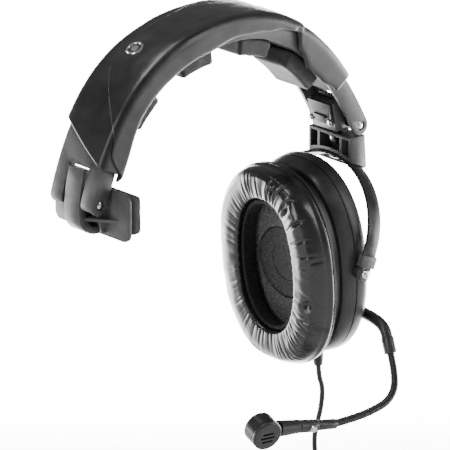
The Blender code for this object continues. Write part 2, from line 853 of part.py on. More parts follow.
def make_cushion(frame):
    """The cushion's face sits a little higher than its flange, and is thicker at the wearer's front."""
    cushion = oval_loft(
        "ear_cushion",
        [
            (CUSHION_FACE, 0.0240, 0.0390, 0.0030), (CUSHION_FACE, 0.0295, 0.0460, 0.0030),
            (-0.0300, 0.0335, 0.0500, 0.0027), (-0.0265, 0.0368, 0.0523, 0.0020),
            (-0.0225, 0.0383, 0.0534, 0.0012), (CUSHION_BACK, 0.0380, 0.0532, 0.0008),
            (CUSHION_BACK, 0.0245, 0.0390, 0.0008), (-0.0230, 0.0217, 0.0362, 0.0014),
            (-0.0285, 0.0214, 0.0360, 0.0027),
        ],
        frame,
        closed=True,
        lean=CUSHION_LEAN,
    )
    paint(cushion, LEATHERETTE)
    flange = oval_loft(
        "cushion_flange",
        [
            (-0.0181, 0.0212, 0.0352, 0.0008), (-0.0181, 0.0383, 0.0540, 0.0008),
            (-0.0163, 0.0383, 0.0540, 0.0008), (-0.0163, 0.0212, 0.0352, 0.0008),
        ],
        frame,
        closed=True,
    )
    paint(flange, HARD_PLASTIC)
    liner = oval_loft(
        "ear_foam_liner",
        [
            (-0.0275, 0.0186, 0.0332, 0.0026), (-0.0275, 0.0209, 0.0355, 0.0026),
            (-0.0230, 0.0210, 0.0356, 0.0014), (-0.0184, 0.0216, 0.0362, 0.0008),
            (-0.0184, 0.0192, 0.0338, 0.0008),
        ],
        frame,
        closed=True,
        lean=CUSHION_LEAN,
    )
    paint(liner, FOAM)


def make_shells(frame):
    baffle = oval_loft(
        "baffle",
        [(-0.0160, 0.0332, 0.0478, 0.0008), (-0.0136, 0.0332, 0.0478, 0.0008)],
        frame,
    )
    opening = rod(
        "baffle_opening", 0.0196, 0.010, sides=40, parent=frame, at=(-0.0148, 0, 0), turn=(0, 90, 0)
    )
    cut(baffle, opening)
    paint(baffle, SOFT_TOUCH)
    front = oval_loft(
        "front_shell",
        [
            (-0.0133, 0.0312, 0.0458, 0.0008), (-0.0133, 0.0334, 0.0480, 0.0008),
            (-0.0091, 0.0334, 0.0480, 0.0006), (-0.0085, 0.0350, 0.0509, 0.0006),
            (-0.0055, 0.0361, 0.0521, 0.0005), (-0.0009, 0.0370, 0.0530, 0.0005),
            (-0.0009, 0.0348, 0.0508, 0.0005), (-0.0060, 0.0336, 0.0496, 0.0005),
            (-0.0090, 0.0312, 0.0458, 0.0006),
        ],
        frame,
        closed=True,
    )
    paint(front, HARD_PLASTIC)
    rear = oval_loft(
        "rear_shell",
        [
            (0.0074, 0.0310, 0.0460, 0.0008), (0.0045, 0.0348, 0.0508, 0.0006),
            (-0.0006, 0.0348, 0.0508, 0.0005), (-0.0006, 0.0371, 0.0531, 0.0005),
            (0.0035, 0.0378, 0.0534, 0.0006), (0.0062, 0.0370, 0.0526, 0.0008),
            (0.0084, 0.0345, 0.0500, 0.0010), (0.0095, 0.0312, 0.0465, 0.0010),
        ],
        frame,
    )
    for sign in (-1, 1):
        boss = rod(
            "pivot_boss", 0.0030, 0.0046, parent=frame, at=(0.0, sign * 0.0370, 0.0), turn=(90, 0, 0)
        )
        hole = rod(
            "pivot_bore", 0.0016, 0.020, sides=16, parent=frame, at=(0, sign * 0.0370, 0), turn=(90, 0, 0)
        )
        fuse(rear, boss)
        cut(rear, hole)
        notch = rod(
            "boss_notch", 0.0033, 0.0140, parent=frame, at=(0, sign * 0.0380, 0), turn=(90, 0, 0)
        )
        cut(front, notch)
    hub_hole = rod(
        "hub_screw_hole", 0.0019, 0.012, sides=16, parent=frame, at=(0.0085, HUB_Y, HUB_Z), turn=(0, 90, 0)
    )
    cord_hole = rod("cord_hole", 0.0024, 0.012, sides=16, parent=frame, at=(0.0038, 0.0, -0.0500))
    cut(rear, hub_hole, cord_hole)
    for y, z in SHELL_SCREWS:
        hole = rod("shell_screw_hole", 0.0013, 0.008, sides=12, parent=frame, at=(0.0085, y, z), turn=(0, 90, 0))
        cut(rear, hole)
    paint(rear, HARD_PLASTIC)


SHELL_SCREWS = [(0.0, 0.0330), (0.0, -0.0170)]


def make_shell_screws(frame):
    profile = [
        (0.0, 0.0010), (0.0014, 0.0009), (0.0020, 0.0004), (0.0021, 0.0), (0.0010, 0.0),
        (0.0010, -0.0040), (0.0, -0.0040),
    ]
    for side, (y, z) in zip(("upper", "lower"), SHELL_SCREWS):
        screw = turned(
            "shell_screw_" + side, profile, 16, parent=frame, at=(0.0098, y, z), turn=(0, 90, 0)
        )
        paint(screw, NICKEL)


def make_speaker(frame):
    grille = turned(
        "speaker_grille",
        [
            (0.0, 0.0), (0.0100, 0.0), (0.0104, 0.0006), (0.0188, 0.0006), (0.0192, 0.0),
            (0.0192, -0.0006), (0.0, -0.0006),
        ],
        36,
        parent=frame,
        at=(-0.0146, 0, 0),
        turn=(0, -90, 0),
    )
    paint(grille, GRILLE_CLOTH)
    driver = turned(
        "speaker_driver",
        [
            (0.0, -0.0020), (0.0080, -0.0020), (0.0170, 0.0), (0.0220, 0.0), (0.0220, -0.0014),
            (0.0185, -0.0014), (0.0120, -0.0080), (0.0, -0.0080),
        ],
        32,
        parent=frame,
        at=(-0.0133, 0, 0),
        turn=(0, -90, 0),
    )
    paint(driver, SOFT_TOUCH)
    magnet = rod("speaker_magnet", 0.0110, 0.0060, sides=28, parent=frame, at=(-0.0020, 0, 0), turn=(0, 90, 0))
    paint(magnet, MAGNET_STEEL)


def make_boom_mount(frame):
    socket = turned(
        "boom_socket",
        [(0.0019, 0.0014), (0.0090, 0.0014), (0.0095, 0.0009), (0.0095, 0.0), (0.0019, 0.0), (0.0019, 0.0014)],
        28,
        parent=frame,
        at=(0.0098, HUB_Y, HUB_Z),
        turn=(0, 90, 0),
    )
    paint(socket, HARD_PLASTIC)


def make_boom(frame):
    """The boom turns on the cup: hub, arm, sleeve and gooseneck, with the frame on the hub's axis."""
    hub = turned(
        "boom_hub",
        [
            (0.0019, 0.0064), (0.0060, 0.0064), (0.0078, 0.0056), (HUB_RADIUS, 0.0044),
            (HUB_RADIUS, 0.0), (0.0019, 0.0), (0.0019, 0.0064),
        ],
        32,
        parent=frame,
        at=(0.0, 0, 0),
        turn=(0, 90, 0),
    )
    arm_start = in_frame(frame, BOOM_ARM_ROUTE[:1])[0]
    socket = rod(
        "hub_arm_hole", BOOM_RADIUS + GAP, 0.010, parent=frame, at=arm_start + Vector((0, -0.0047, 0)), turn=(90, 0, 0)
    )
    cut(hub, socket)
    paint(hub, HARD_PLASTIC)
    screw = turned(
        "hub_screw",
        [
            (0.0, 0.0012), (0.0020, 0.0011), (0.0030, 0.0006), (0.0032, 0.0), (0.0015, 0.0),
            (0.0015, -0.0098), (0.0, -0.0098),
        ],
        18,
        parent=frame,
        at=(0.0067, 0, 0),
        turn=(0, 90, 0),
    )
    paint(screw, NICKEL)
    arm = tube("boom_arm", BOOM_ARM_ROUTE, BOOM_RADIUS, 0.004, frame)
    paint(arm, HARD_PLASTIC)
    sleeve = rod_between("boom_sleeve", *BOOM_SLEEVE, 0.0033, parent=frame)
    round_edges(sleeve, 0.0004, 1)
    paint(sleeve, HARD_PLASTIC)
    neck = tube("gooseneck", GOOSENECK_ROUTE, GOOSENECK_RADIUS, 0.0042, frame)
    paint(neck, BLACK_STEEL)


def make_microphone(frame):
    sleeve = rod_between("neck_end_sleeve", *END_SLEEVE, 0.0026, 0.0027, parent=frame)
    paint(sleeve, SOFT_TOUCH)
    collar = rod_between("mic_collar", *MIC_COLLAR, 0.0032, 0.0034, parent=frame)
    round_edges(collar, 0.0003, 1)
    paint(collar, HARD_PLASTIC)
    seat = Vector((0.0085, -0.0623, -0.1932))
    outward = Vector((-0.2, -0.93, -0.1)).normalized()
    screw = rod_between(
        "collar_screw", seat + outward * 0.0038, seat + outward * 0.0046, 0.0019, 0.0016, parent=frame, sides=16
    )
    paint(screw, NICKEL)
    side = Vector((1, 0, 0)) - MIC_FACING.x * MIC_FACING
    side.normalize()
    stem_end = MIC_CENTRE + side * (MIC_RADIUS + 2 * GAP)
    collar_end = Vector(MIC_COLLAR[1])
    toward = (stem_end - collar_end).normalized()
    stem = rod_between("mic_stem", collar_end + toward * GAP, stem_end, 0.0035, 0.0042, parent=frame)
    paint(stem, HARD_PLASTIC)
    local = in_frame(frame, [MIC_CENTRE, MIC_CENTRE + MIC_FACING])
    aim = (local[1] - local[0]).to_track_quat("Z", "Y").to_euler()
    housing = turned(
        "mic_housing",
        [
            (0.0, -0.0044), (0.0066, -0.0044), (0.0069, -0.0040), (0.0069, 0.0023), (MIC_RADIUS, 0.0023),
            (MIC_RADIUS, -0.0050), (0.0073, -0.0060), (0.0, -0.0060),
        ],
        32,
        parent=frame,
        at=local[0],
    )
    cover = turned(
        "mic_cover",
        [
            (0.0, 0.0049), (0.0073, 0.0049), (MIC_RADIUS, 0.0043), (MIC_RADIUS, 0.0026), (0.0, 0.0026),
        ],
        32,
        parent=frame,
        at=local[0],
    )
    element = rod("mic_element", 0.0048, 0.0036, sides=20, parent=frame, at=local[0])
    for obj in (housing, cover, element):
        obj.rotation_euler = aim
    spin = (local[1] - local[0]).to_track_quat("Z", "Y").to_matrix().to_4x4()
    element.location = local[0] + spin @ Vector((0, 0, -0.0012))
    up_hint = frame.matrix_world.inverted().to_3x3() @ Vector((0, 0, 1))
    face = (local[1] - local[0]).normalized()
    slot_up = (up_hint - face * up_hint.dot(face)).normalized()
    slot_side = slot_up.cross(face)
    basis = Matrix((slot_side, slot_up, face)).transposed()
    for row, (height, length) in enumerate(((0.0012, 0.0060), (-0.0010, 0.0080), (-0.0032, 0.0060))):
        slot = box("mic_slot_%d" % row, (length, 0.0010, 0.0060), parent=frame)
        slot.location = local[0] + basis @ Vector((0.0, height, 0.0037))
        slot.rotation_euler = basis.to_euler()
        cut(cover, slot)
    paint(housing, HARD_PLASTIC)
    paint(cover, HARD_PLASTIC)
    paint(element, MAGNET_STEEL)


# ---- the cord and its plug --------------------------------------------------------------------


def make_cord(frame):
    relief = turned(
        "strain_relief",
        [
            (0.0, -0.0530), (0.0042, -0.0530), (0.0042, -0.0549), (0.0031, -0.0556), (0.0027, -0.0612),
            (0.0023, -0.0638), (0.0, -0.0638),
        ],
        20,
        parent=frame,
        at=(0.0038, 0, 0),
    )
    paint(relief, CORD_RUBBER)
    drop = tube("cord_drop", CORD_DROP_ROUTE, CORD_RADIUS, 0.0045, frame)
    tail = tube("cord_tail", CORD_TAIL_ROUTE, CORD_RADIUS, 0.0045, frame)
    ring = COIL_RADIUS
    half_w, half_h, corner = COIL_HALF_WIDTH, COIL_HALF_HEIGHT, 0.0014
    section = [
        (ring - half_w + corner, half_h), (ring + half_w - corner, half_h),
        (ring + half_w, half_h - corner), (ring + half_w, corner - half_h),
        (ring + half_w - corner, -half_h), (ring - half_w + corner, -half_h),
        (ring - half_w, corner - half_h), (ring - half_w, half_h - corner),
        (ring - half_w + corner, half_h),
    ]
    coil = turned("cord_coil", section, 32, parent=frame)
    coil.location = in_frame(frame, [COIL_CENTRE])[0]
    coil.rotation_euler = frame.matrix_world.to_3x3().inverted().to_euler()
    tie_at = COIL_CENTRE - Vector((COIL_RADIUS, 0, 0))
    tie = box("coil_tie", (0.0142, 0.0040, 0.0135), parent=frame)
    hole = box("coil_tie_hole", (0.0126, 0.0060, 0.0118), parent=frame)
    for obj in (tie, hole):
        obj.location = in_frame(frame, [tie_at])[0]
        obj.rotation_euler = coil.rotation_euler
    cut(tie, hole)
    paint(drop, CORD_RUBBER)
    paint(tail, CORD_RUBBER)
    paint(coil, CORD_RUBBER)
    paint(tie, FOAM)


def make_plug(frame):
    """The line plug lies on the floor with its nose towards -X; local Z runs along it from the nose."""
    level = frame.matrix_world.to_3x3().inverted()
    lie = (level @ Matrix.Rotation(math.radians(90), 3, "Y")).to_euler()
    nose = in_frame(frame, [PLUG_NOSE])[0]
    r = PLUG_RADIUS
    shell = turned(
        "plug_shell",
        [
            (0.0, PLUG_LENGTH), (0.0072, PLUG_LENGTH), (0.0085, PLUG_LENGTH - 0.0010),
            (r, PLUG_LENGTH - 0.0040), (r, 0.0190), (0.0091, 0.0180), (0.0091, 0.0005), (0.0087, 0.0),
            (0.0080, 0.0), (0.0080, 0.0120), (0.0, 0.0120),
        ],
        32,
        parent=frame,
        at=nose,
    )
    boot = turned(
        "plug_boot",
        [
            (0.0, BOOT_LENGTH - 0.0050), (0.0018, BOOT_LENGTH - 0.0050), (0.0018, BOOT_LENGTH),
            (0.0032, BOOT_LENGTH), (0.0040, BOOT_LENGTH - 0.0010), (0.0066, 0.0060), (0.0072, 0.0010),
            (0.0072, GAP), (0.0, GAP),
        ],
        24,
        parent=frame,
        at=in_frame(frame, [PLUG_NOSE + Vector((PLUG_LENGTH, 0, 0))])[0],
    )
    insert = turned(
        "plug_insert",
        [(0.0, 0.0117), (0.0076, 0.0117), (0.0076, 0.0012), (0.0072, 0.0008), (0.0, 0.0008)],
        28,
        parent=frame,
        at=nose,
    )
    for obj in (shell, boot, insert):
        obj.rotation_euler = lie
    for i in range(4):
        angle = math.radians(45 + 90 * i)
        at = PLUG_NOSE + Vector((0.0, 0.0036 * math.cos(angle), 0.0036 * math.sin(angle)))
        hole = rod("contact_hole", 0.0009, 0.012, sides=10, parent=frame, at=in_frame(frame, [at])[0])
        hole.rotation_euler = lie
        cut(insert, hole)
    pocket = box("latch_pocket", (0.0136, 0.0056, 0.0060), parent=frame)
    latch = box("plug_latch", (0.0128, 0.0048, 0.0030), parent=frame)
    middle_x = 0.0270
    pocket.location = in_frame(frame, [PLUG_NOSE + Vector((middle_x, 0, r - 0.0005))])[0]
    latch.location = in_frame(frame, [PLUG_NOSE + Vector((middle_x, 0, r - 0.0006))])[0]
    pocket.rotation_euler = level.to_euler()
    latch.rotation_euler = level.to_euler()
    cut(shell, pocket)
    round_edges(latch, 0.0006)
    paint(shell, BLACK_STEEL)
    paint(boot, CORD_RUBBER)
    paint(insert, SOFT_TOUCH)
    paint(latch, NICKEL)


def main():
    temple_frame = frame_at("temple_pivot", (-PIN_X, 0.0, PIN_Z))
    strap_frame = frame_at("strap_line", STRAP_ORIGIN, STRAP_TILT)
    block_frame = frame_at("block_place", BLOCK_ORIGIN)
    yoke_frame = frame_at("yoke_place", PIVOT, YOKE_TILT)
    cup_frame = frame_at("cup_pivot", PIVOT, CUP_TILT)
    hub_at = cup_frame.matrix_world @ Vector((0.0115, HUB_Y, HUB_Z))
    boom_frame = frame_at("boom_pivot", hub_at, CUP_TILT)
    bend_frame = frame_at("gooseneck_bend", GOOSENECK_ROUTE[3])

    make_band()
    make_cover()
    make_snaps()
    make_liner_and_pads()
    make_pins()
    make_temple_arm(temple_frame)
    make_temple_pad(temple_frame)
    make_slider_guide(strap_frame)
    make_retainer(strap_frame)
    make_strap(strap_frame)
    make_block(block_frame, yoke_frame)
    make_yoke(yoke_frame)
    make_yoke_end("front", -1, yoke_frame)
    make_yoke_end("rear", 1, yoke_frame)
    make_cushion(cup_frame)
    make_shells(cup_frame)
    make_shell_screws(cup_frame)
    make_speaker(cup_frame)
    make_boom_mount(cup_frame)
    make_boom(boom_frame)
    make_microphone(bend_frame)
    make_cord(cup_frame)
    make_plug(cup_frame)


main()
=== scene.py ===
import json
import math

import bmesh
import bpy
from mathutils import Matrix, Vector, noise


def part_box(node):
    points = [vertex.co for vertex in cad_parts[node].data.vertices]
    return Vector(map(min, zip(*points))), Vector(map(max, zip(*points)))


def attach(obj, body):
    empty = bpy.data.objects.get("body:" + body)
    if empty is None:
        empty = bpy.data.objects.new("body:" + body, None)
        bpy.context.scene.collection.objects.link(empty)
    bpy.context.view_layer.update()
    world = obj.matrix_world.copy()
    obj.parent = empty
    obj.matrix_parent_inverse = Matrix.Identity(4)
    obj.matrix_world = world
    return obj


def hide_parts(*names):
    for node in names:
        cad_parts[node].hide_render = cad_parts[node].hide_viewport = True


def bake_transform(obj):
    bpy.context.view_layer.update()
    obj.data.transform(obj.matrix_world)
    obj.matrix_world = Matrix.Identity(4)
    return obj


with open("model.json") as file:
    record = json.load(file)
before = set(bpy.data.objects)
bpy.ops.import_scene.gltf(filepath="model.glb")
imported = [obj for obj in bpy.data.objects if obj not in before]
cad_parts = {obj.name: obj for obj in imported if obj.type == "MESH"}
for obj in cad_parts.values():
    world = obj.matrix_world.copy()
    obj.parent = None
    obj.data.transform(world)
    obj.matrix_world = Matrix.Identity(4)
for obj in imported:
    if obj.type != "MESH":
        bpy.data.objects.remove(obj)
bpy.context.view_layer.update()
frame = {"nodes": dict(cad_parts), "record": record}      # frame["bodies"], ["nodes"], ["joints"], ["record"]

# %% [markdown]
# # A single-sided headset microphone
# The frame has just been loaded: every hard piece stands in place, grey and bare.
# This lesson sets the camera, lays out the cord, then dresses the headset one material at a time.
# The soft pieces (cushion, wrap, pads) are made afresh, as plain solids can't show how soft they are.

MM = 0.001
NODES = frame["nodes"]
FLOOR_Z = -276.4 * MM

# %% [markdown]
# ## The camera
# A product photograph is taken from far away through a long lens, so that near and far pieces keep
# almost the same size. A 36 mm sensor with a 396 mm lens does that. The camera looks down by 20
# degrees and stands 43 degrees round from the wearer's front, so the open ear cup faces it.

# %% Place the camera
camera_data = bpy.data.cameras.new("camera")
camera_data.lens = 396
camera_data.sensor_width = 36
camera_data.clip_end = 100
camera = bpy.data.objects.new("camera", camera_data)
bpy.context.scene.collection.objects.link(camera)
camera.location = (-1.5916, -1.7158, 0.7515)
camera.rotation_euler = (math.radians(70), 0, math.radians(-43))
bpy.context.scene.camera = camera

# %% [markdown]
# ## Lights and the white surroundings
# A black object needs large, soft lights: what you see of black leather is mostly the reflection
# of the light panels. One panel is above, one on each side, and the world itself is dim. The floor
# stands for a table that is lit from below behind the headset, so the background comes out white.


# %% Make the panels, the world and the floor
def light_panel(name, place, size, power, aim=(0.0, 0.0, -0.1)):
    """A rectangular soft light that faces the point aimed at."""
    data = bpy.data.lights.new(name, "AREA")
    data.shape = "RECTANGLE"
    data.size, data.size_y = size
    data.energy = power
    panel = bpy.data.objects.new(name, data)
    bpy.context.scene.collection.objects.link(panel)
    panel.location = place
    panel.rotation_euler = (Vector(aim) - Vector(place)).to_track_quat("-Z", "Y").to_euler()
    return panel


WORLD_STRENGTH = 0.30
world = bpy.data.worlds.new("studio")
bpy.context.scene.world = world
world.use_nodes = True
background = world.node_tree.nodes["Background"]
background.inputs["Color"].default_value = (1.0, 1.0, 1.0, 1.0)
background.inputs["Strength"].default_value = WORLD_STRENGTH
light_panel("panel above", (-0.25, 0.15, 1.3), (1.0, 0.5), 24)
light_panel("panel left", (-1.5, -0.3, 0.5), (0.35, 1.2), 16)
light_panel("panel right", (0.9, -1.3, 0.5), (0.35, 1.2), 12)

floor_mesh = bpy.data.meshes.new("floor")
floor_bm = bmesh.new()
bmesh.ops.create_grid(floor_bm, x_segments=1, y_segments=1, size=6.0)
floor_bm.to_mesh(floor_mesh)
floor_bm.free()
floor = bpy.data.objects.new("floor", floor_mesh)
bpy.context.scene.collection.objects.link(floor)
floor.location.z = FLOOR_Z

# %% [markdown]
# ## Finishes
# Every finish is a small tree of nodes on one Principled shader: fine noise makes the grain
# (through a Bump node), and a larger noise makes the shine and the colour a little uneven, as
# wear and handling do. A single function builds the tree, and each finish is one call of it.


# %% A finish from a few numbers
def finish(
    name, colour, rough, grain=0.4, height=0.02, shine_change=0.08, metal=0.0, coat=0.0, sheen=0.0,
    tint=0.25, pattern="noise", speck=0.0, gloss=0.30,
):
    """A material. grain is the grain's size in mm, height how deep it looks in mm."""
    material = bpy.data.materials.new(name)
    material.use_nodes = True
    nodes, links = material.node_tree.nodes, material.node_tree.links
    shader = nodes["Principled BSDF"]
    shader.inputs["Metallic"].default_value = metal
    shader.inputs["Specular IOR Level"].default_value = gloss
    shader.inputs["Coat Weight"].default_value = coat
    shader.inputs["Coat Roughness"].default_value = 0.22
    shader.inputs["Sheen Weight"].default_value = sheen
    place = nodes.new("ShaderNodeTexCoord")
    wide = nodes.new("ShaderNodeTexNoise")
    wide.inputs["Scale"].default_value = 90.0
    wide.inputs["Detail"].default_value = 5.0
    links.new(place.outputs["Object"], wide.inputs["Vector"])
    if pattern == "cells":
        fine = nodes.new("ShaderNodeTexVoronoi")
        fine.feature = "DISTANCE_TO_EDGE"
        fine_out = fine.outputs["Distance"]
    else:
        fine = nodes.new("ShaderNodeTexNoise")
        fine.inputs["Detail"].default_value = 2.0
        fine_out = fine.outputs["Fac"]
    fine.inputs["Scale"].default_value = 1.0 / (grain * MM)
    links.new(place.outputs["Object"], fine.inputs["Vector"])
    bump = nodes.new("ShaderNodeBump")
    bump.inputs["Distance"].default_value = height * MM
    bump.inputs["Strength"].default_value = 1.0
    links.new(fine_out, bump.inputs["Height"])
    links.new(bump.outputs["Normal"], shader.inputs["Normal"])
    shine = nodes.new("ShaderNodeMapRange")
    shine.inputs["From Min"].default_value = 0.3
    shine.inputs["From Max"].default_value = 0.7
    shine.inputs["To Min"].default_value = rough - shine_change
    shine.inputs["To Max"].default_value = rough + shine_change
    links.new(wide.outputs["Fac"], shine.inputs["Value"])
    links.new(shine.outputs["Result"], shader.inputs["Roughness"])
    ramp = nodes.new("ShaderNodeValToRGB")
    low = [c * (1.0 - tint) for c in colour]
    high = [min(1.0, c * (1.0 + tint) + speck) for c in colour]
    ramp.color_ramp.elements[0].position = 0.35
    ramp.color_ramp.elements[0].color = (*low, 1.0)
    ramp.color_ramp.elements[1].position = 0.65
    ramp.color_ramp.elements[1].color = (*high, 1.0)
    links.new(fine_out if speck else wide.outputs["Fac"], ramp.inputs["Fac"])
    links.new(ramp.outputs["Color"], shader.inputs["Base Color"])
    return material


# %% [markdown]
# The finishes themselves. Leatherette is a thin glossy skin, so it gets a clear coat over a
# darker base. Foam has no gloss at all. Moulded plastic is matt with a fine spark grain.

# %% All the finishes of this headset
FINISHES = {
    "band_shell": finish("moulded band", (0.040, 0.040, 0.042), 0.46, 0.35, 0.02),
    "headband_cover": finish("wrap leatherette", (0.008, 0.008, 0.009), 0.34, 0.55, 0.045, 0.05, coat=0.10),
    "channel_liner": finish("soft liner", (0.010, 0.010, 0.010), 0.75, 0.4, 0.03),
    "fork": finish("moulded fork", (0.042, 0.042, 0.044), 0.40, 0.30, 0.02),
    "head_pad": finish("skinned foam", (0.022, 0.022, 0.022), 0.72, 0.5, 0.08, 0.05, sheen=0.05),
    "ear_cushion": finish(
        "cushion leatherette", (0.007, 0.007, 0.008), 0.27, 0.50, 0.02, 0.05, coat=0.18, gloss=0.35
    ),
    "ear_foam_liner": finish("open foam", (0.010, 0.010, 0.010), 0.95, 0.9, 0.50, 0.02, pattern="cells"),
    "speaker_grille": finish(
        "speaker cloth", (0.030, 0.030, 0.031), 0.9, 0.55, 0.10, 0.03, tint=0.6, speck=0.03
    ),
    "cup_shell": finish("moulded cup", (0.016, 0.016, 0.017), 0.38, 0.30, 0.018, coat=0.04),
    "inner_plastic": finish("matt plastic", (0.016, 0.016, 0.016), 0.60, 0.3, 0.02),
    "baffle": finish("baffle cloth", (0.045, 0.045, 0.046), 0.9, 0.55, 0.12, 0.03, tint=0.7, speck=0.05),
    "black_steel": finish("black steel", (0.012, 0.012, 0.013), 0.32, 0.5, 0.006, 0.06, metal=0.1),
    "nickel": finish("nickel", (0.50, 0.50, 0.51), 0.22, 0.6, 0.004, 0.05, metal=1.0, tint=0.06),
    "magnet_steel": finish("plated steel", (0.35, 0.35, 0.36), 0.35, 0.5, 0.005, 0.05, metal=1.0),
    "gooseneck": finish("ringed neck", (0.014, 0.014, 0.015), 0.34, 0.4, 0.006, 0.05, metal=0.2),
    "cord_rubber": finish("cord rubber", (0.013, 0.013, 0.013), 0.45, 0.6, 0.02, 0.05),
    "boom_plastic": finish("satin plastic", (0.017, 0.017, 0.018), 0.34, 0.35, 0.01, 0.05, coat=0.05),
    "plug_body": finish("plug barrel", (0.024, 0.024, 0.025), 0.32, 0.30, 0.008, 0.04, metal=0.25),
    "tie": finish("hook and loop", (0.012, 0.012, 0.012), 0.95, 0.35, 0.30, 0.02, pattern="cells"),
    "paper": finish("white surface", (0.93, 0.93, 0.93), 0.85, 5.0, 0.001, 0.02, tint=0.01),
}
GLOW_BEHIND, GLOW_IN_FRONT = 15.0, 0.25


def light_the_table(material):
    """The table is lit from below behind the headset, and fades to plain white in front of it."""
    nodes, links = material.node_tree.nodes, material.node_tree.links
    shader = nodes["Principled BSDF"]
    place = nodes.new("ShaderNodeTexCoord")
    along = nodes.new("ShaderNodeVectorMath")
    along.operation = "DOT_PRODUCT"
    along.inputs[1].default_value = (0.68, 0.73, 0.0)
    fade = nodes.new("ShaderNodeMapRange")
    fade.interpolation_type = "SMOOTHSTEP"
    fade.inputs["From Min"].default_value = 0.02
    fade.inputs["From Max"].default_value = 0.20
    fade.inputs["To Min"].default_value = GLOW_IN_FRONT
    fade.inputs["To Max"].default_value = GLOW_BEHIND
    links.new(place.outputs["Object"], along.inputs[0])
    links.new(along.outputs["Value"], fade.inputs["Value"])
    links.new(fade.outputs["Result"], shader.inputs["Emission Strength"])
    shader.inputs["Emission Color"].default_value = (1.0, 1.0, 1.0, 1.0)


light_the_table(FINISHES["paper"])
floor_mesh.materials.append(FINISHES["paper"])
print("finishes made:", len(FINISHES))

# %% [markdown]
# ## Dressing the frame's own pieces
# The hard pieces come in with flat faces and split corners. Nothing moves: a Weld modifier joins
# the corners, a small Bevel catches the light on the edges, and a two-node Geometry Nodes group
# shades smooth wherever the surface turns by less than 32 degrees.


# %% A smoothing group shared by all of them
def make_smoother(limit=32.0):
    """A node group that shades smooth, except across edges sharper than the limit."""
    group = bpy.data.node_groups.new("smooth where gentle", "GeometryNodeTree")
    group.interface.new_socket("Geometry", in_out="INPUT", socket_type="NodeSocketGeometry")
    group.interface.new_socket("Geometry", in_out="OUTPUT", socket_type="NodeSocketGeometry")
    start = group.nodes.new("NodeGroupInput")
    end = group.nodes.new("NodeGroupOutput")
    faces = group.nodes.new("GeometryNodeSetShadeSmooth")
    edges = group.nodes.new("GeometryNodeSetShadeSmooth")
    edges.domain = "EDGE"
    edges.inputs["Shade Smooth"].default_value = False
    angle = group.nodes.new("GeometryNodeInputMeshEdgeAngle")
    sharp = group.nodes.new("FunctionNodeCompare")
    sharp.data_type = "FLOAT"
    sharp.operation = "GREATER_THAN"
    sharp.inputs["B"].default_value = math.radians(limit)
    group.links.new(angle.outputs["Unsigned Angle"], sharp.inputs["A"])
    group.links.new(sharp.outputs["Result"], edges.inputs["Selection"])
    group.links.new(start.outputs[0], faces.inputs["Geometry"])
    group.links.new(faces.outputs["Geometry"], edges.inputs["Geometry"])
    group.links.new(edges.outputs["Geometry"], end.inputs[0])
    return group


SMOOTHER = make_smoother()


def polish(piece, edge=0.0, weld=True):
    """Joins split corners, rounds the sharp edges by a hair and smooths the shading."""
    if weld:
        piece.modifiers.new("join corners", "WELD").merge_threshold = 2e-6
    if edge:
        bevel = piece.modifiers.new("soft edges", "BEVEL")
        bevel.width = edge * MM
        bevel.segments = 2
        bevel.limit_method = "ANGLE"
        bevel.angle_limit = math.radians(35)
        bevel.use_clamp_overlap = True
    piece.modifiers.new("shading", "NODES").node_group = SMOOTHER


def wear(piece, name):
    """Gives a piece one finish, on all of its faces."""
    piece.data.materials.clear()
    piece.data.materials.append(FINISHES[name])
    for face in piece.data.polygons:
        face.material_index = 0


SLOTS = {part["node"]: part["material_slot"] for part in frame["record"]["subparts"]}
EDGES = {
    "band_shell": 0.25, "temple_arm": 0.25, "slider_guide": 0.2, "retainer_plate": 0.15, "yoke_block": 0.3,
    "yoke_band": 0.25, "slide_strap": 0.15, "plug_latch": 0.2, "mic_collar": 0.15, "boom_hub": 0.2,
    "mic_cover": 0.12, "neck_end_sleeve": 0.2, "boom_sleeve": 0.2, "plug_shell": 0.2, "baffle": 0.2,
}
OTHER_FINISH = {"baffle": "baffle", "plug_shell": "plug_body"}
for name, node in NODES.items():
    wear(node, OTHER_FINISH.get(name, SLOTS[name]))
    polish(node, EDGES.get(name, 0.0))
print("pieces dressed:", len(SLOTS))

# %% [markdown]
# ## The cord
# The cord is 1.69 m of 2.8 mm round cable. It drops out of the strain relief, straight at first,
# sways a little as cable fresh from its packing does, and goes into a coil on the surface. From
# the coil's outer turn it runs out, turns back in a loop and enters the plug's boot.
#
# One curve carries all of it, as one real cable would. The coil's sixteen turns are packed four
# across and four high, wound the way a hand winds: across, then down, then across again.


# %% The route of the cord
CORD_DIAMETER = 2.8 * MM
COIL_CENTRE = Vector((56.0, 6.0, -269.4)) * MM
COIL_RADIUS = 15.5
DROP = [
    (74.7, 0, -196.5), (75.6, 0, -203.0), (77.5, 0, -209.5), (76.5, 0, -221.0), (74.9, 0, -226.2),
    (72.7, 0, -233.4), (71.3, -1.0, -238.5), (70.2, -3.0, -244.0), (69.8, -6.0, -250.0),
    (70.2, -7.0, -255.5), (71.0, -3.5, -260.2), (71.4, 3.0, -261.8), (71.2, 9.0, -262.1),
]
TAIL = [
    (60.0, -17.1, -274.5), (72.0, -17.2, -274.7), (86.0, -17.6, -274.7), (97.5, -19.5, -274.0),
    (104.5, -25.0, -272.0), (106.0, -32.5, -269.5), (101.0, -39.0, -267.5), (93.0, -41.8, -266.7),
    (84.5, -42.0, -266.6),
]
ACROSS = [1.5, 0.5, -0.5, -1.5, -1.5, -0.5, 0.5, 1.5, 1.5, 0.5, -0.5, -1.5, -1.5, -0.5, 0.5, 1.5]
LEVELS = [1.5] * 4 + [0.5] * 4 + [-0.5] * 4 + [-1.5] * 4
TURN_POINTS = 28
PITCH = 2.85


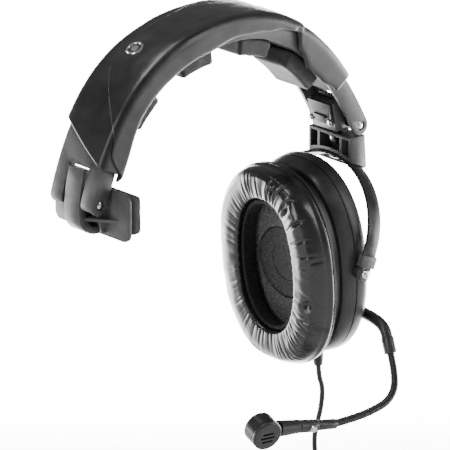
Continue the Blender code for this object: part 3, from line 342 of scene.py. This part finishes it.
def ease(value):
    """0 to 1 with a gentle start and end."""
    value = min(1.0, max(0.0, value))
    return value * value * (3.0 - 2.0 * value)


def coil_route():
    """The coil's turns as points; each turn changes place with the next over its last part."""
    points = []
    start, end = 62.0, 15 * 360.0 + 272.0
    count = round((end - start) / 360.0 * TURN_POINTS)
    for i in range(count + 1):
        angle = start + (end - start) * i / count
        turn = (angle - start) / 360.0
        slot_now = min(15, int(turn))
        slot_next = min(15, slot_now + 1)
        share = ease((turn - slot_now - 0.80) / 0.20)
        across = ACROSS[slot_now] * (1 - share) + ACROSS[slot_next] * share
        level = LEVELS[slot_now] * (1 - share) + LEVELS[slot_next] * share
        unruly = 0.22 * math.sin(3.1 * turn + 1.7 * slot_now)
        radius = COIL_RADIUS + PITCH * across + unruly
        turned = math.radians(angle)
        x = COIL_CENTRE.x / MM + radius * math.cos(turned)
        y = COIL_CENTRE.y / MM + radius * math.sin(turned)
        points.append((x, y, COIL_CENTRE.z / MM - 1.0 + (PITCH - 0.05) * level))
    return points


def plain_mesh(obj):
    """What an object looks like with everything on it worked out, as a mesh of its own."""
    bpy.context.view_layer.update()
    return bpy.data.meshes.new_from_object(obj.evaluated_get(bpy.context.evaluated_depsgraph_get()))


def tube_through(name, route, diameter):
    """A round tube on a smooth line through points given in mm, and the line that it follows."""
    curve = bpy.data.curves.new(name, "CURVE")
    curve.dimensions = "3D"
    curve.bevel_resolution = 4
    curve.resolution_u = 4
    curve.use_fill_caps = True
    spline = curve.splines.new("BEZIER")
    spline.bezier_points.add(len(route) - 1)
    for point, place in zip(spline.bezier_points, route):
        point.co = Vector(place) * MM
        point.handle_left_type = point.handle_right_type = "AUTO"
    drawn = bpy.data.objects.new(name + "_curve", curve)
    bpy.context.scene.collection.objects.link(drawn)
    line = [vertex.co.copy() for vertex in plain_mesh(drawn).vertices]
    curve.bevel_depth = diameter / 2
    tube = bpy.data.objects.new(name, plain_mesh(drawn))
    bpy.context.scene.collection.objects.link(tube)
    bpy.data.objects.remove(drawn)
    return tube, line


# %% Lay the cord
cord, cord_line = tube_through("cord", DROP[:-1] + coil_route() + TAIL, CORD_DIAMETER)
wear(cord, "cord_rubber")
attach(cord, "earcup")
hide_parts("cord_drop", "cord_coil", "cord_tail")

# %% [markdown]
# ## Ovals for the ear cup
# Cushion, flange, shells and foam ring all follow one rounded oval. Each can be drawn as a few
# rings, one behind the other, joined into a skin: a loft. With 144 points to a ring the edges are
# smooth, and the soft pieces have even more, enough to fold. Everything is placed in the cup's own
# tilted space, whose X axis points away from the head.

# %% A loft of rounded ovals
CUP_SPACE = Matrix.Translation((66.4 * MM, 0.0, -132.3 * MM)) @ Matrix.Rotation(math.radians(-4), 4, "Y")
SQUARENESS = 2.3
CUSHION_FACE, CUSHION_BACK, CUSHION_LEAN = -31.2, -18.4, 0.05


def oval(angle, half_y, half_z):
    """A point of the rounded oval at an angle."""
    c, s = math.cos(angle), math.sin(angle)
    power = 2.0 / SQUARENESS
    return half_y * math.copysign(abs(c) ** power, c), half_z * math.copysign(abs(s) ** power, s)


def soft_section(corners, per_side):
    """More rings between the given ones, on a smooth closed curve through them."""
    rings = []
    count = len(corners)
    for i in range(count):
        p0, p1, p2, p3 = (Vector(corners[(i + k - 1) % count]) for k in range(4))
        for step in range(per_side):
            t = step / per_side
            rings.append(
                0.5 * (2 * p1 + (p2 - p0) * t + (2 * p0 - 5 * p1 + 4 * p2 - p3) * t * t
                       + (3 * p1 - p0 - 3 * p2 + p3) * t * t * t)
            )
    return rings


def loft(name, sections, points, lean=0.0, crease=None):
    """Rings of (x, half width, half height, middle) in mm, in the cup's space, as one closed mesh."""
    bm = bmesh.new()
    rings = []
    for k, (x, half_y, half_z, middle) in enumerate(sections):
        ring = []
        share = lean * max(0.0, CUSHION_BACK - x) / (CUSHION_BACK - CUSHION_FACE)
        for i in range(points):
            angle = 2 * math.pi * i / points
            y, z = oval(angle, half_y, half_z)
            place = Vector((x + share * y, y, middle + z))
            if crease:
                place = crease(place, angle, k)
            ring.append(bm.verts.new(CUP_SPACE @ (place * MM)))
        rings.append(ring)
    for first, second in zip(rings, rings[1:] + rings[:1]):
        for i in range(points):
            j = (i + 1) % points
            bm.faces.new((first[i], first[j], second[j], second[i]))
    bmesh.ops.recalc_face_normals(bm, faces=bm.faces)
    mesh = bpy.data.meshes.new(name)
    bm.to_mesh(mesh)
    bm.free()
    piece = bpy.data.objects.new(name, mesh)
    bpy.context.scene.collection.objects.link(piece)
    return piece


def stand_for(piece, node, body, finish_name=None, smooth_all=False):
    """Puts a new piece in a node's place, on its body, in its finish."""
    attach(piece, body)
    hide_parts(node)
    wear(piece, finish_name or SLOTS[node])
    if smooth_all:
        for face in piece.data.polygons:
            face.use_smooth = True
    else:
        polish(piece, weld=False)


# %% [markdown]
# ## The ear cushion
# The cushion is a tube of thin leatherette stuffed with foam, gathered to fit an oval. Sewing a
# flat strip round a curve leaves too much cloth on the inner side, so it gathers into short folds
# that run across the tube, tightest where the curve is. Folds fade out towards the smooth band
# at the back. Two knots, where the seam's ends are tied, pinch the skin near the front.
#
# A cloth simulation could find such folds, but here they are wanted in known places, so they are
# drawn: every fold is a narrow valley with soft banks that starts at the inner rim and
# dies out on the face, each of its own length, depth and slant.

# %% Draw the folds
import random

random.seed(11)
FOLDS = []
OUTER_FOLDS = []
for k in range(58):
    at = 2 * math.pi * (k + random.uniform(-0.35, 0.35)) / 58
    high = 0.55 + 0.45 * abs(math.sin(at)) ** 1.5
    width = random.uniform(0.020, 0.042)
    strength = 0.62 * high * random.uniform(0.25, 1.0)
    slant = random.uniform(-0.10, 0.10)
    reach = random.uniform(0.35, 1.0)
    FOLDS.append((at, width, strength, slant, reach))
for k in range(46):
    at = random.uniform(math.radians(60), math.radians(265))
    top = math.exp(-(((at - math.radians(105)) / 0.75) ** 2))
    OUTER_FOLDS.append((at, random.uniform(0.018, 0.034), random.uniform(0.25, 0.6) + 0.7 * top,
                        random.uniform(-0.25, 0.25), random.uniform(0.80, 0.93)))
KNOTS = [(math.radians(128), 1.2), (math.radians(192), 1.1)]


def fold_shape(side, bank, valley):
    """The height across a fold: a narrow valley between two soft banks."""
    return bank * math.exp(-0.5 * (side / 1.9) ** 2) - valley * math.exp(-2.2 * side * side)


def gathered(place, angle, ring):
    """Moves a point of the cushion's skin: in at the folds, out at the banks, in at the knots."""
    depth = (CUSHION_BACK - place.x) / (CUSHION_BACK - CUSHION_FACE)
    if depth < 0.05:
        return place
    across = math.hypot(place.y / 38.3, (place.z - 1.5) / 53.3)
    on_face = ease((depth - 0.15) / 0.55)
    inner = 1.0 - ease((across - 0.60) / 0.36)
    push = 0.0
    for at, width, strength, slant, reach in FOLDS:
        away = (angle - at - slant * (across - 0.6) + math.pi) % (2 * math.pi) - math.pi
        if abs(away) > 4 * width:
            continue
        fade = on_face * (0.25 + 0.75 * inner) * (1.0 - ease((across - 0.55) / (0.25 + 0.35 * reach)))
        side = away / width
        push += strength * fade * fold_shape(side, 0.50, 1.25)
    for at, width, strength, slant, centre in OUTER_FOLDS:
        away = (angle - at - slant * (across - centre) + math.pi) % (2 * math.pi) - math.pi
        if abs(away) > 4 * width:
            continue
        fade = on_face * math.exp(-(((across - centre) / 0.09) ** 2))
        side = away / width
        push += strength * fade * fold_shape(side, 0.45, 1.05)
    spread = Vector((place.x * 0.05, place.y * 0.055, place.z * 0.055))
    soft = noise.noise(spread) * 0.55 + noise.noise(spread * 3.1) * 0.22
    push += soft * on_face
    for at, strength in KNOTS:
        away = (angle - at + math.pi) % (2 * math.pi) - math.pi
        near = math.exp(-((away / 0.055) ** 2) - ((across - 0.86) / 0.055) ** 2)
        rays = math.exp(-((away / 0.20) ** 2) - ((across - 0.86) / 0.14) ** 2)
        push -= strength * on_face * (1.5 * near + 0.35 * rays * (1 + math.cos(24 * away)))
    ridge = math.exp(-(((across - 0.935) / 0.022) ** 2)) * on_face
    out = Vector((0.0, place.y, place.z - 1.5)).normalized()
    facing = Vector((-1.0, 0.0, 0.0)) + out * 0.35
    return place + facing.normalized() * (push + 0.30 * ridge * (0.6 + 0.4 * math.sin(9 * angle)))


CUSHION_RINGS = [
    (-18.4, 38.0, 53.2, 0.8), (-22.5, 38.4, 53.4, 1.2), (-26.5, 36.9, 52.5, 2.0), (-29.6, 34.2, 50.6, 2.6),
    (-31.2, 30.0, 46.2, 2.9), (-31.1, 25.5, 41.0, 3.0), (-30.2, 21.9, 36.8, 3.0), (-27.0, 21.2, 35.8, 2.6),
    (-22.5, 21.5, 36.0, 1.6), (-18.4, 24.5, 39.0, 0.8),
]
CUSHION_RIM_STEPS = 8
CUSHION_POINTS, SHELL_POINTS, FOAM_POINTS = 560, 192, 220
cushion_skin = soft_section(CUSHION_RINGS, CUSHION_RIM_STEPS)
cushion = loft("gathered_cushion", cushion_skin, CUSHION_POINTS, CUSHION_LEAN, gathered)
stand_for(cushion, "ear_cushion", "earcup", smooth_all=True)
print("cushion points:", len(cushion.data.vertices))

# %% [markdown]
# ## Flange, shells and the foam inside
# The flange is the plastic ring that the cushion snaps on by. Behind it is a deep dark groove,
# then the front shell, a fine parting line, and the rear shell, which stays the frame's own. The
# foam inside the cushion has a torn, open surface, so its points are moved by noise.

# %% Make the hard ovals
flange = loft("cushion_ring", [
    (-18.1, 21.5, 35.5, 0.8), (-18.1, 37.9, 53.6, 0.8), (-17.9, 38.3, 54.0, 0.8), (-16.5, 38.3, 54.0, 0.8),
    (-16.3, 37.9, 53.6, 0.8), (-16.3, 21.5, 35.5, 0.8),
], SHELL_POINTS)
stand_for(flange, "cushion_flange", "earcup")
FRONT_SHELL_RINGS = [
    (-13.3, 31.2, 45.8, 0.8), (-13.3, 33.4, 48.0, 0.8), (-9.2, 33.4, 48.0, 0.6), (-8.9, 34.6, 50.5, 0.6),
    (-8.5, 35.0, 50.9, 0.6), (-7.2, 35.6, 51.5, 0.6), (-5.5, 36.1, 52.1, 0.5), (-3.0, 36.7, 52.7, 0.5),
    (-1.3, 37.0, 53.0, 0.5), (-0.9, 36.7, 52.7, 0.5), (-0.9, 34.8, 50.8, 0.5), (-6.0, 33.6, 49.6, 0.5),
    (-9.0, 31.2, 45.8, 0.6),
]
front_shell = loft("front_half_shell", FRONT_SHELL_RINGS, SHELL_POINTS)
stand_for(front_shell, "front_shell", "earcup")


def foam_surface(place, angle, ring):
    rough = noise.noise(place * 0.9) * 0.5 + noise.noise(place * 2.3) * 0.35
    inward = Vector((0.0, -place.y, -place.z)).normalized()
    return place + inward * (rough if ring in (0, 6, 7, 8, 9, 10, 11) else 0.0)


FOAM_RINGS = [
    (-27.5, 18.9, 33.5, 2.6), (-27.9, 19.8, 34.4, 2.6), (-27.5, 20.7, 35.3, 2.6), (-23.0, 20.9, 35.5, 1.4),
    (-18.4, 21.4, 36.0, 0.8), (-18.4, 19.4, 34.0, 0.8), (-19.5, 19.2, 33.8, 0.9), (-21.0, 19.1, 33.7, 1.1),
    (-22.5, 19.0, 33.6, 1.3), (-24.0, 18.9, 33.5, 1.7), (-25.3, 18.9, 33.5, 2.1), (-26.5, 18.9, 33.5, 2.4),
]
foam = loft("open_foam_ring", FOAM_RINGS, FOAM_POINTS, CUSHION_LEAN, foam_surface)
stand_for(foam, "ear_foam_liner", "earcup", smooth_all=True)

# %% [markdown]
# ## The head pads
# Four blocks of skinned foam hang in the band's channel. Foam that is cut with a hot wire has
# rounded edges and a slightly swollen, dimpled skin. A rounded block with many points, pushed out
# a little in the middle and dented by noise, shows that.


# %% Foam blocks from the frame's own boxes
def foam_block(node, body, swell, dent, cells=1.4):
    """A softer copy of a node: remeshed finely, swollen and dented."""
    source = NODES[node]
    copy = source.copy()
    copy.data = source.data.copy()
    copy.name = node + "_foam"
    copy.modifiers.clear()
    bpy.context.scene.collection.objects.link(copy)
    copy.parent = None
    copy.matrix_world = source.matrix_world.copy()
    copy.modifiers.new("join", "WELD").merge_threshold = 2e-6
    remesh = copy.modifiers.new("even points", "REMESH")
    remesh.mode = "VOXEL"
    remesh.voxel_size = 0.55 * MM
    rounder = copy.modifiers.new("round", "SMOOTH")
    rounder.factor = 0.6
    rounder.iterations = 10
    bpy.context.view_layer.update()
    mesh = bpy.data.meshes.new_from_object(copy.evaluated_get(bpy.context.evaluated_depsgraph_get()))
    copy.modifiers.clear()
    copy.data = mesh
    place = copy.matrix_world
    low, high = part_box(node)
    middle = (Vector(low) + Vector(high)) / 2
    turn_back = place.to_3x3().inverted()
    for vertex in mesh.vertices:
        spot = place @ vertex.co
        out = (spot - middle).normalized()
        grain = noise.noise(spot * 160.0) * dent + noise.noise(spot * 700.0) * dent * 0.35
        bulge = swell * (0.4 - 0.6 * min(1.0, (spot - middle).length / (14 * MM)))
        vertex.co += turn_back @ (out * (grain + bulge - 0.05) * MM)
    for face in mesh.polygons:
        face.use_smooth = True
    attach(copy, body)
    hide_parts(node)
    wear(copy, "head_pad")
    return copy


for node in ("head_pad_left_outer", "head_pad_left_inner", "head_pad_right_inner", "head_pad_right_outer"):
    pad = foam_block(node, "headband", 0.8, 0.22)
    print(pad.name, "points:", len(pad.data.vertices))
foam_block("temple_pad", "temple", 0.5, 0.2)

# %% [markdown]
# ## The leatherette wrap
# The wrap is one skin of padded leatherette round the band. Its front and rear hems are folded
# in. A second layer, the flap, overlaps the first: it starts as a tip at the front of the left
# leg, widens on the slant and runs over the top. Press studs hold both layers and pinch the skin.
#
# It is drawn as a strip that follows the band's curve. Each place along the band has a cross
# section: hem, front side, top, rear side, hem. The depth of each hem changes along the band.

# %% The band's curve, which the wrap follows
CROWN = Vector((0.0, 10.0))
LEFT_CURVE = (Vector((52.7, 10.0)), Vector((79.3, -14.5)), Vector((94.2, -63.0)))
RIGHT_CURVE = (Vector((36.9, 10.0)), Vector((68.2, -14.0)), Vector((93.1, -62.2)))


def band_point(t, depth=0.0):
    """A point of the band's outer line, t from -1 (left end) to 1 (right end), and the way inward."""
    u = abs(t)
    v = 1.0 - u
    pull, leg, end = LEFT_CURVE if t < 0.0 else RIGHT_CURVE
    place = v**3 * CROWN + 3 * v * v * u * pull + 3 * v * u * u * leg + u**3 * end
    along = (v * v * (pull - CROWN) + 2 * v * u * (leg - pull) + u * u * (end - leg)).normalized()
    inward = Vector((along.y, -along.x))
    side = math.copysign(1.0, t)
    place = place + depth * inward
    return Vector((side * place.x, place.y)), Vector((side * inward.x, inward.y))


def band_t(x):
    """The t at which the band's outer line reaches x."""
    low, high = 0.0, 1.0
    for _ in range(40):
        middle = (low + high) / 2
        if abs(band_point(math.copysign(middle, x))[0].x) < abs(x):
            low = middle
        else:
            high = middle
    return math.copysign(low, x)


def follow(table, x):
    """A value between rows of (x, value), eased from row to row."""
    if x <= table[0][0]:
        return table[0][1]
    for (x0, v0), (x1, v1) in zip(table, table[1:]):
        if x <= x1:
            return v0 + (v1 - v0) * ease((x - x0) / (x1 - x0))
    return table[-1][1]


# %% How deep each hem reaches, and where studs and folds are
FRONT_HEM = [(-94, 12.0), (-88, 13.0), (-70, 10.0), (-50, 10.0), (-20, 9.6), (0, 7.0), (9, 7.0), (22, 5.8),
             (36, 2.6), (44, 1.2), (51, 9.0), (60, 13.5), (69, 12.5), (77, 9.0)]
REAR_HEM = [(-94, 10.0), (-40, 11.0), (20, 11.0), (32, 15.0), (42, 19.0), (50, 19.0), (60, 13.0), (67, 11.0),
            (77, 9.0)]
STUDS = {"snap_left": (-48.0, 2.5), "snap_right": (36.5, 2.5)}
STUD_PINCH, STUD_SPREAD = 0.75, 6.5
SKIN_TOP = -2.85
SKIN_SIDE = 17.55


def wrap_section(x, lift):
    """Points (y, depth) over the band at one place, from the front hem's inside to the rear's."""
    front, rear = follow(FRONT_HEM, x), follow(REAR_HEM, x)
    inner = 15.75
    points = [
        (-inner, front - 1.6), (-inner - 0.4, front - 0.4), (-inner - 1.0, front + 0.15),
        (-SKIN_SIDE - lift + 0.2, front - 0.3), (-SKIN_SIDE - lift, front - 1.4),
        (-SKIN_SIDE - lift, front * 0.62), (-SKIN_SIDE - lift, front * 0.32), (-SKIN_SIDE - lift, 0.6),
        (-SKIN_SIDE - lift + 0.25, -1.0), (-SKIN_SIDE - lift + 1.1, SKIN_TOP + 0.65 - lift * 0.5),
        (-SKIN_SIDE - lift + 2.4, SKIN_TOP + 0.08 - lift * 0.8),
    ]
    for step in range(1, 16):
        y = -15.2 + 30.4 * step / 16
        points.append((y, SKIN_TOP - lift - 0.35 * math.cos(y / 15.2 * math.pi / 2)))
    mirrored = [
        (SKIN_SIDE + lift - 2.4, SKIN_TOP + 0.08 - lift * 0.8),
        (SKIN_SIDE + lift - 1.1, SKIN_TOP + 0.65 - lift * 0.5),
        (SKIN_SIDE + lift - 0.25, -1.0), (SKIN_SIDE + lift, 0.6), (SKIN_SIDE + lift, rear * 0.32),
        (SKIN_SIDE + lift, rear * 0.62), (SKIN_SIDE + lift, rear - 1.4), (SKIN_SIDE + lift - 0.2, rear - 0.3),
        (inner + 1.0, rear + 0.15), (inner + 0.4, rear - 0.4), (inner, rear - 1.6),
    ]
    return points + mirrored


def left_t(z):
    """The t at which the left leg's outer line comes down to z."""
    low, high = 0.0, 1.0
    for _ in range(40):
        middle = (low + high) / 2
        if band_point(-middle)[0].y > z:
            low = middle
        else:
            high = middle
    return -low


def shorten(section, length):
    """The first part of a section's line, of the given length, as evenly many points."""
    reach = [0.0]
    for (y0, d0), (y1, d1) in zip(section, section[1:]):
        reach.append(reach[-1] + math.hypot(y1 - y0, d1 - d0))
    length = min(length, reach[-1])
    points = []
    count = len(section)
    k = 0
    for i in range(count):
        want = length * i / (count - 1)
        while k < len(reach) - 2 and reach[k + 1] < want:
            k += 1
        part = (want - reach[k]) / max(1e-9, reach[k + 1] - reach[k])
        y = section[k][0] + (section[k + 1][0] - section[k][0]) * part
        depth = section[k][1] + (section[k + 1][1] - section[k][1]) * part
        points.append((y, depth))
    return points


def wrap_skin(name, start_t, end_t, lift, steps, thin, width=None, slant=None):
    """A strip of wrap between two places; width(t) shortens it, slant(y) moves its left end."""
    bm = bmesh.new()
    rows = []
    for step in range(steps + 1):
        share = step / steps
        base = start_t + (end_t - start_t) * share
        section = wrap_section(band_point(base)[0].x, lift)
        if width:
            section = shorten(section, width(base))
        row = []
        for y, depth in section:
            t = base
            if slant:
                t = slant(y) + (end_t - slant(y)) * share
            flat, _ = band_point(t)
            x = flat.x
            soft = noise.noise(Vector((flat.x * 0.045, y * 0.07, flat.y * 0.045 + lift * 9.0))) * 0.40
            soft += noise.noise(Vector((flat.x * 0.14, y * 0.20, flat.y * 0.14 + lift))) * 0.14
            pinch = 0.0
            for stud_x, stud_y in STUDS.values():
                away = math.hypot(x - stud_x, y - stud_y)
                pinch += STUD_PINCH * math.exp(-((away / STUD_SPREAD) ** 2))
            on_top = 1.0 if depth < -0.5 else 0.35
            place, _ = band_point(t, depth + on_top * (pinch - soft))
            side = math.copysign(0.3 * soft, y) if abs(y) > 16.5 else 0.0
            row.append(bm.verts.new(Vector((place.x, y + side, place.y)) * MM))
        rows.append(row)
    for first, second in zip(rows, rows[1:]):
        for i in range(len(first) - 1):
            bm.faces.new((first[i], first[i + 1], second[i + 1], second[i]))
    bmesh.ops.recalc_face_normals(bm, faces=bm.faces)
    mesh = bpy.data.meshes.new(name)
    bm.to_mesh(mesh)
    bm.free()
    piece = bpy.data.objects.new(name, mesh)
    bpy.context.scene.collection.objects.link(piece)
    for face in mesh.polygons:
        face.use_smooth = True
    thick = piece.modifiers.new("thickness", "SOLIDIFY")
    thick.thickness = thin * MM
    thick.offset = 0.0
    rounder = piece.modifiers.new("round edges", "SUBSURF")
    rounder.levels = rounder.render_levels = 1
    return piece


WRAP_RIGHT = band_t(77.0)
FLAP_TIP, FLAP_CORNER, FLAP_TOP = left_t(-50.0), left_t(-37.0), left_t(-2.0)


def slanted_end(y):
    """The under layer ends on the slant: high at the rear, low at the front."""
    return left_t(-37.5 + 0.50 * y)


def flap_width(t):
    """How far the flap reaches from the front hem: nothing at its tip, then on over the top."""
    low = 14.5 * ease((t - FLAP_TIP) / (FLAP_CORNER - FLAP_TIP)) ** 0.8
    high = 27.0 * ease((t - FLAP_CORNER) / (FLAP_TOP - FLAP_CORNER))
    return 1.2 + low + high


wrap = wrap_skin("wrap_under_layer", left_t(-37.5), WRAP_RIGHT, 0.0, 150, 0.9, slant=slanted_end)
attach(wrap, "headband")
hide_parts("headband_cover")
wear(wrap, "headband_cover")
flap = wrap_skin("wrap_flap", FLAP_TIP, band_t(45.0), 0.75, 130, 0.9, width=flap_width)
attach(flap, "headband")
wear(flap, "headband_cover")
print("wrap points:", len(wrap.data.vertices), "flap points:", len(flap.data.vertices))

# %% [markdown]
# ## Boom and neck
# The boom's arm is one bent tube; a Bezier curve through the same places is rounder than the
# frame's own. The gooseneck is a steel tube wound from wire: its surface is a row of fine rings,
# modelled as a tube whose radius rises and falls along its length. When the microphone is bent
# aside the real neck bends with it; this one is built where it stands and is not blended between
# the boom's body and the microphone's.

# %% Make the arm and the ringed neck
ARM_ROUTE = [
    (83.0, -9.0, -161.4), (82.9, -18.0, -161.8), (82.6, -27.0, -162.4), (82.1, -34.4, -163.2),
    (81.8, -39.3, -164.8), (81.6, -42.1, -167.3), (81.4, -43.5, -170.1), (81.2, -44.3, -171.8),
]
arm, _ = tube_through("boom_arm_tube", ARM_ROUTE, 6.0 * MM)
wear(arm, "boom_plastic")
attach(arm, "boom")
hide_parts("boom_arm")

NECK_ROUTE = [
    (80.6, -46.7, -176.4), (80.3, -47.5, -178.0), (78.0, -52.3, -186.7), (73.5, -56.6, -192.7),
    (65.0, -59.8, -196.4), (52.0, -61.7, -197.4), (40.0, -62.7, -197.2), (25.6, -63.0, -196.4),
    (24.4, -62.95, -196.2),
]
NECK_RADIUS, RING_HEIGHT, RING_PITCH = 1.88, 0.13, 0.9


def smooth_route(route, spacing):
    """Points about spacing apart on a smooth curve through a route's points."""
    route = [Vector(point) for point in route]
    ends = [2 * route[0] - route[1]] + route + [2 * route[-1] - route[-2]]
    points = []
    for before, start, end, after in zip(ends, ends[1:], ends[2:], ends[3:]):
        count = max(1, math.ceil((end - start).length / spacing))
        for i in range(count):
            t = i / count
            points.append(0.5 * (2 * start + (end - before) * t
                                 + (2 * before - 5 * start + 4 * end - after) * t * t
                                 + (3 * start - before - 3 * end + after) * t * t * t))
    points.append(route[-1])
    return points


def ringed_tube(name, route, radius, height, pitch, sides=20):
    """A tube whose radius rises and falls, as wound wire does."""
    line = smooth_route(route, pitch / 5)
    bm = bmesh.new()
    rings = []
    travelled = 0.0
    across = Vector((0.0, 0.0, 1.0))
    for i, place in enumerate(line):
        if i:
            travelled += (place - line[i - 1]).length
        ahead = (line[min(i + 1, len(line) - 1)] - line[max(i - 1, 0)]).normalized()
        side = (across - ahead * across.dot(ahead)).normalized()
        other = ahead.cross(side)
        across = side
        here = radius + height * math.cos(2 * math.pi * travelled / pitch)
        ring = []
        for k in range(sides):
            angle = 2 * math.pi * k / sides
            outward = side * math.cos(angle) + other * math.sin(angle)
            ring.append(bm.verts.new((place + outward * here) * MM))
        rings.append(ring)
    for first, second in zip(rings, rings[1:]):
        for k in range(sides):
            bm.faces.new((first[k], first[(k + 1) % sides], second[(k + 1) % sides], second[k]))
    bm.faces.new(rings[0])
    bm.faces.new(rings[-1])
    bmesh.ops.recalc_face_normals(bm, faces=bm.faces)
    mesh = bpy.data.meshes.new(name)
    bm.to_mesh(mesh)
    bm.free()
    for face in mesh.polygons:
        face.use_smooth = True
    piece = bpy.data.objects.new(name, mesh)
    bpy.context.scene.collection.objects.link(piece)
    return piece


neck = ringed_tube("ringed_gooseneck", NECK_ROUTE, NECK_RADIUS, RING_HEIGHT, RING_PITCH)
wear(neck, "gooseneck")
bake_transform(neck)
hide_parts("gooseneck")
print("neck points:", len(neck.data.vertices))
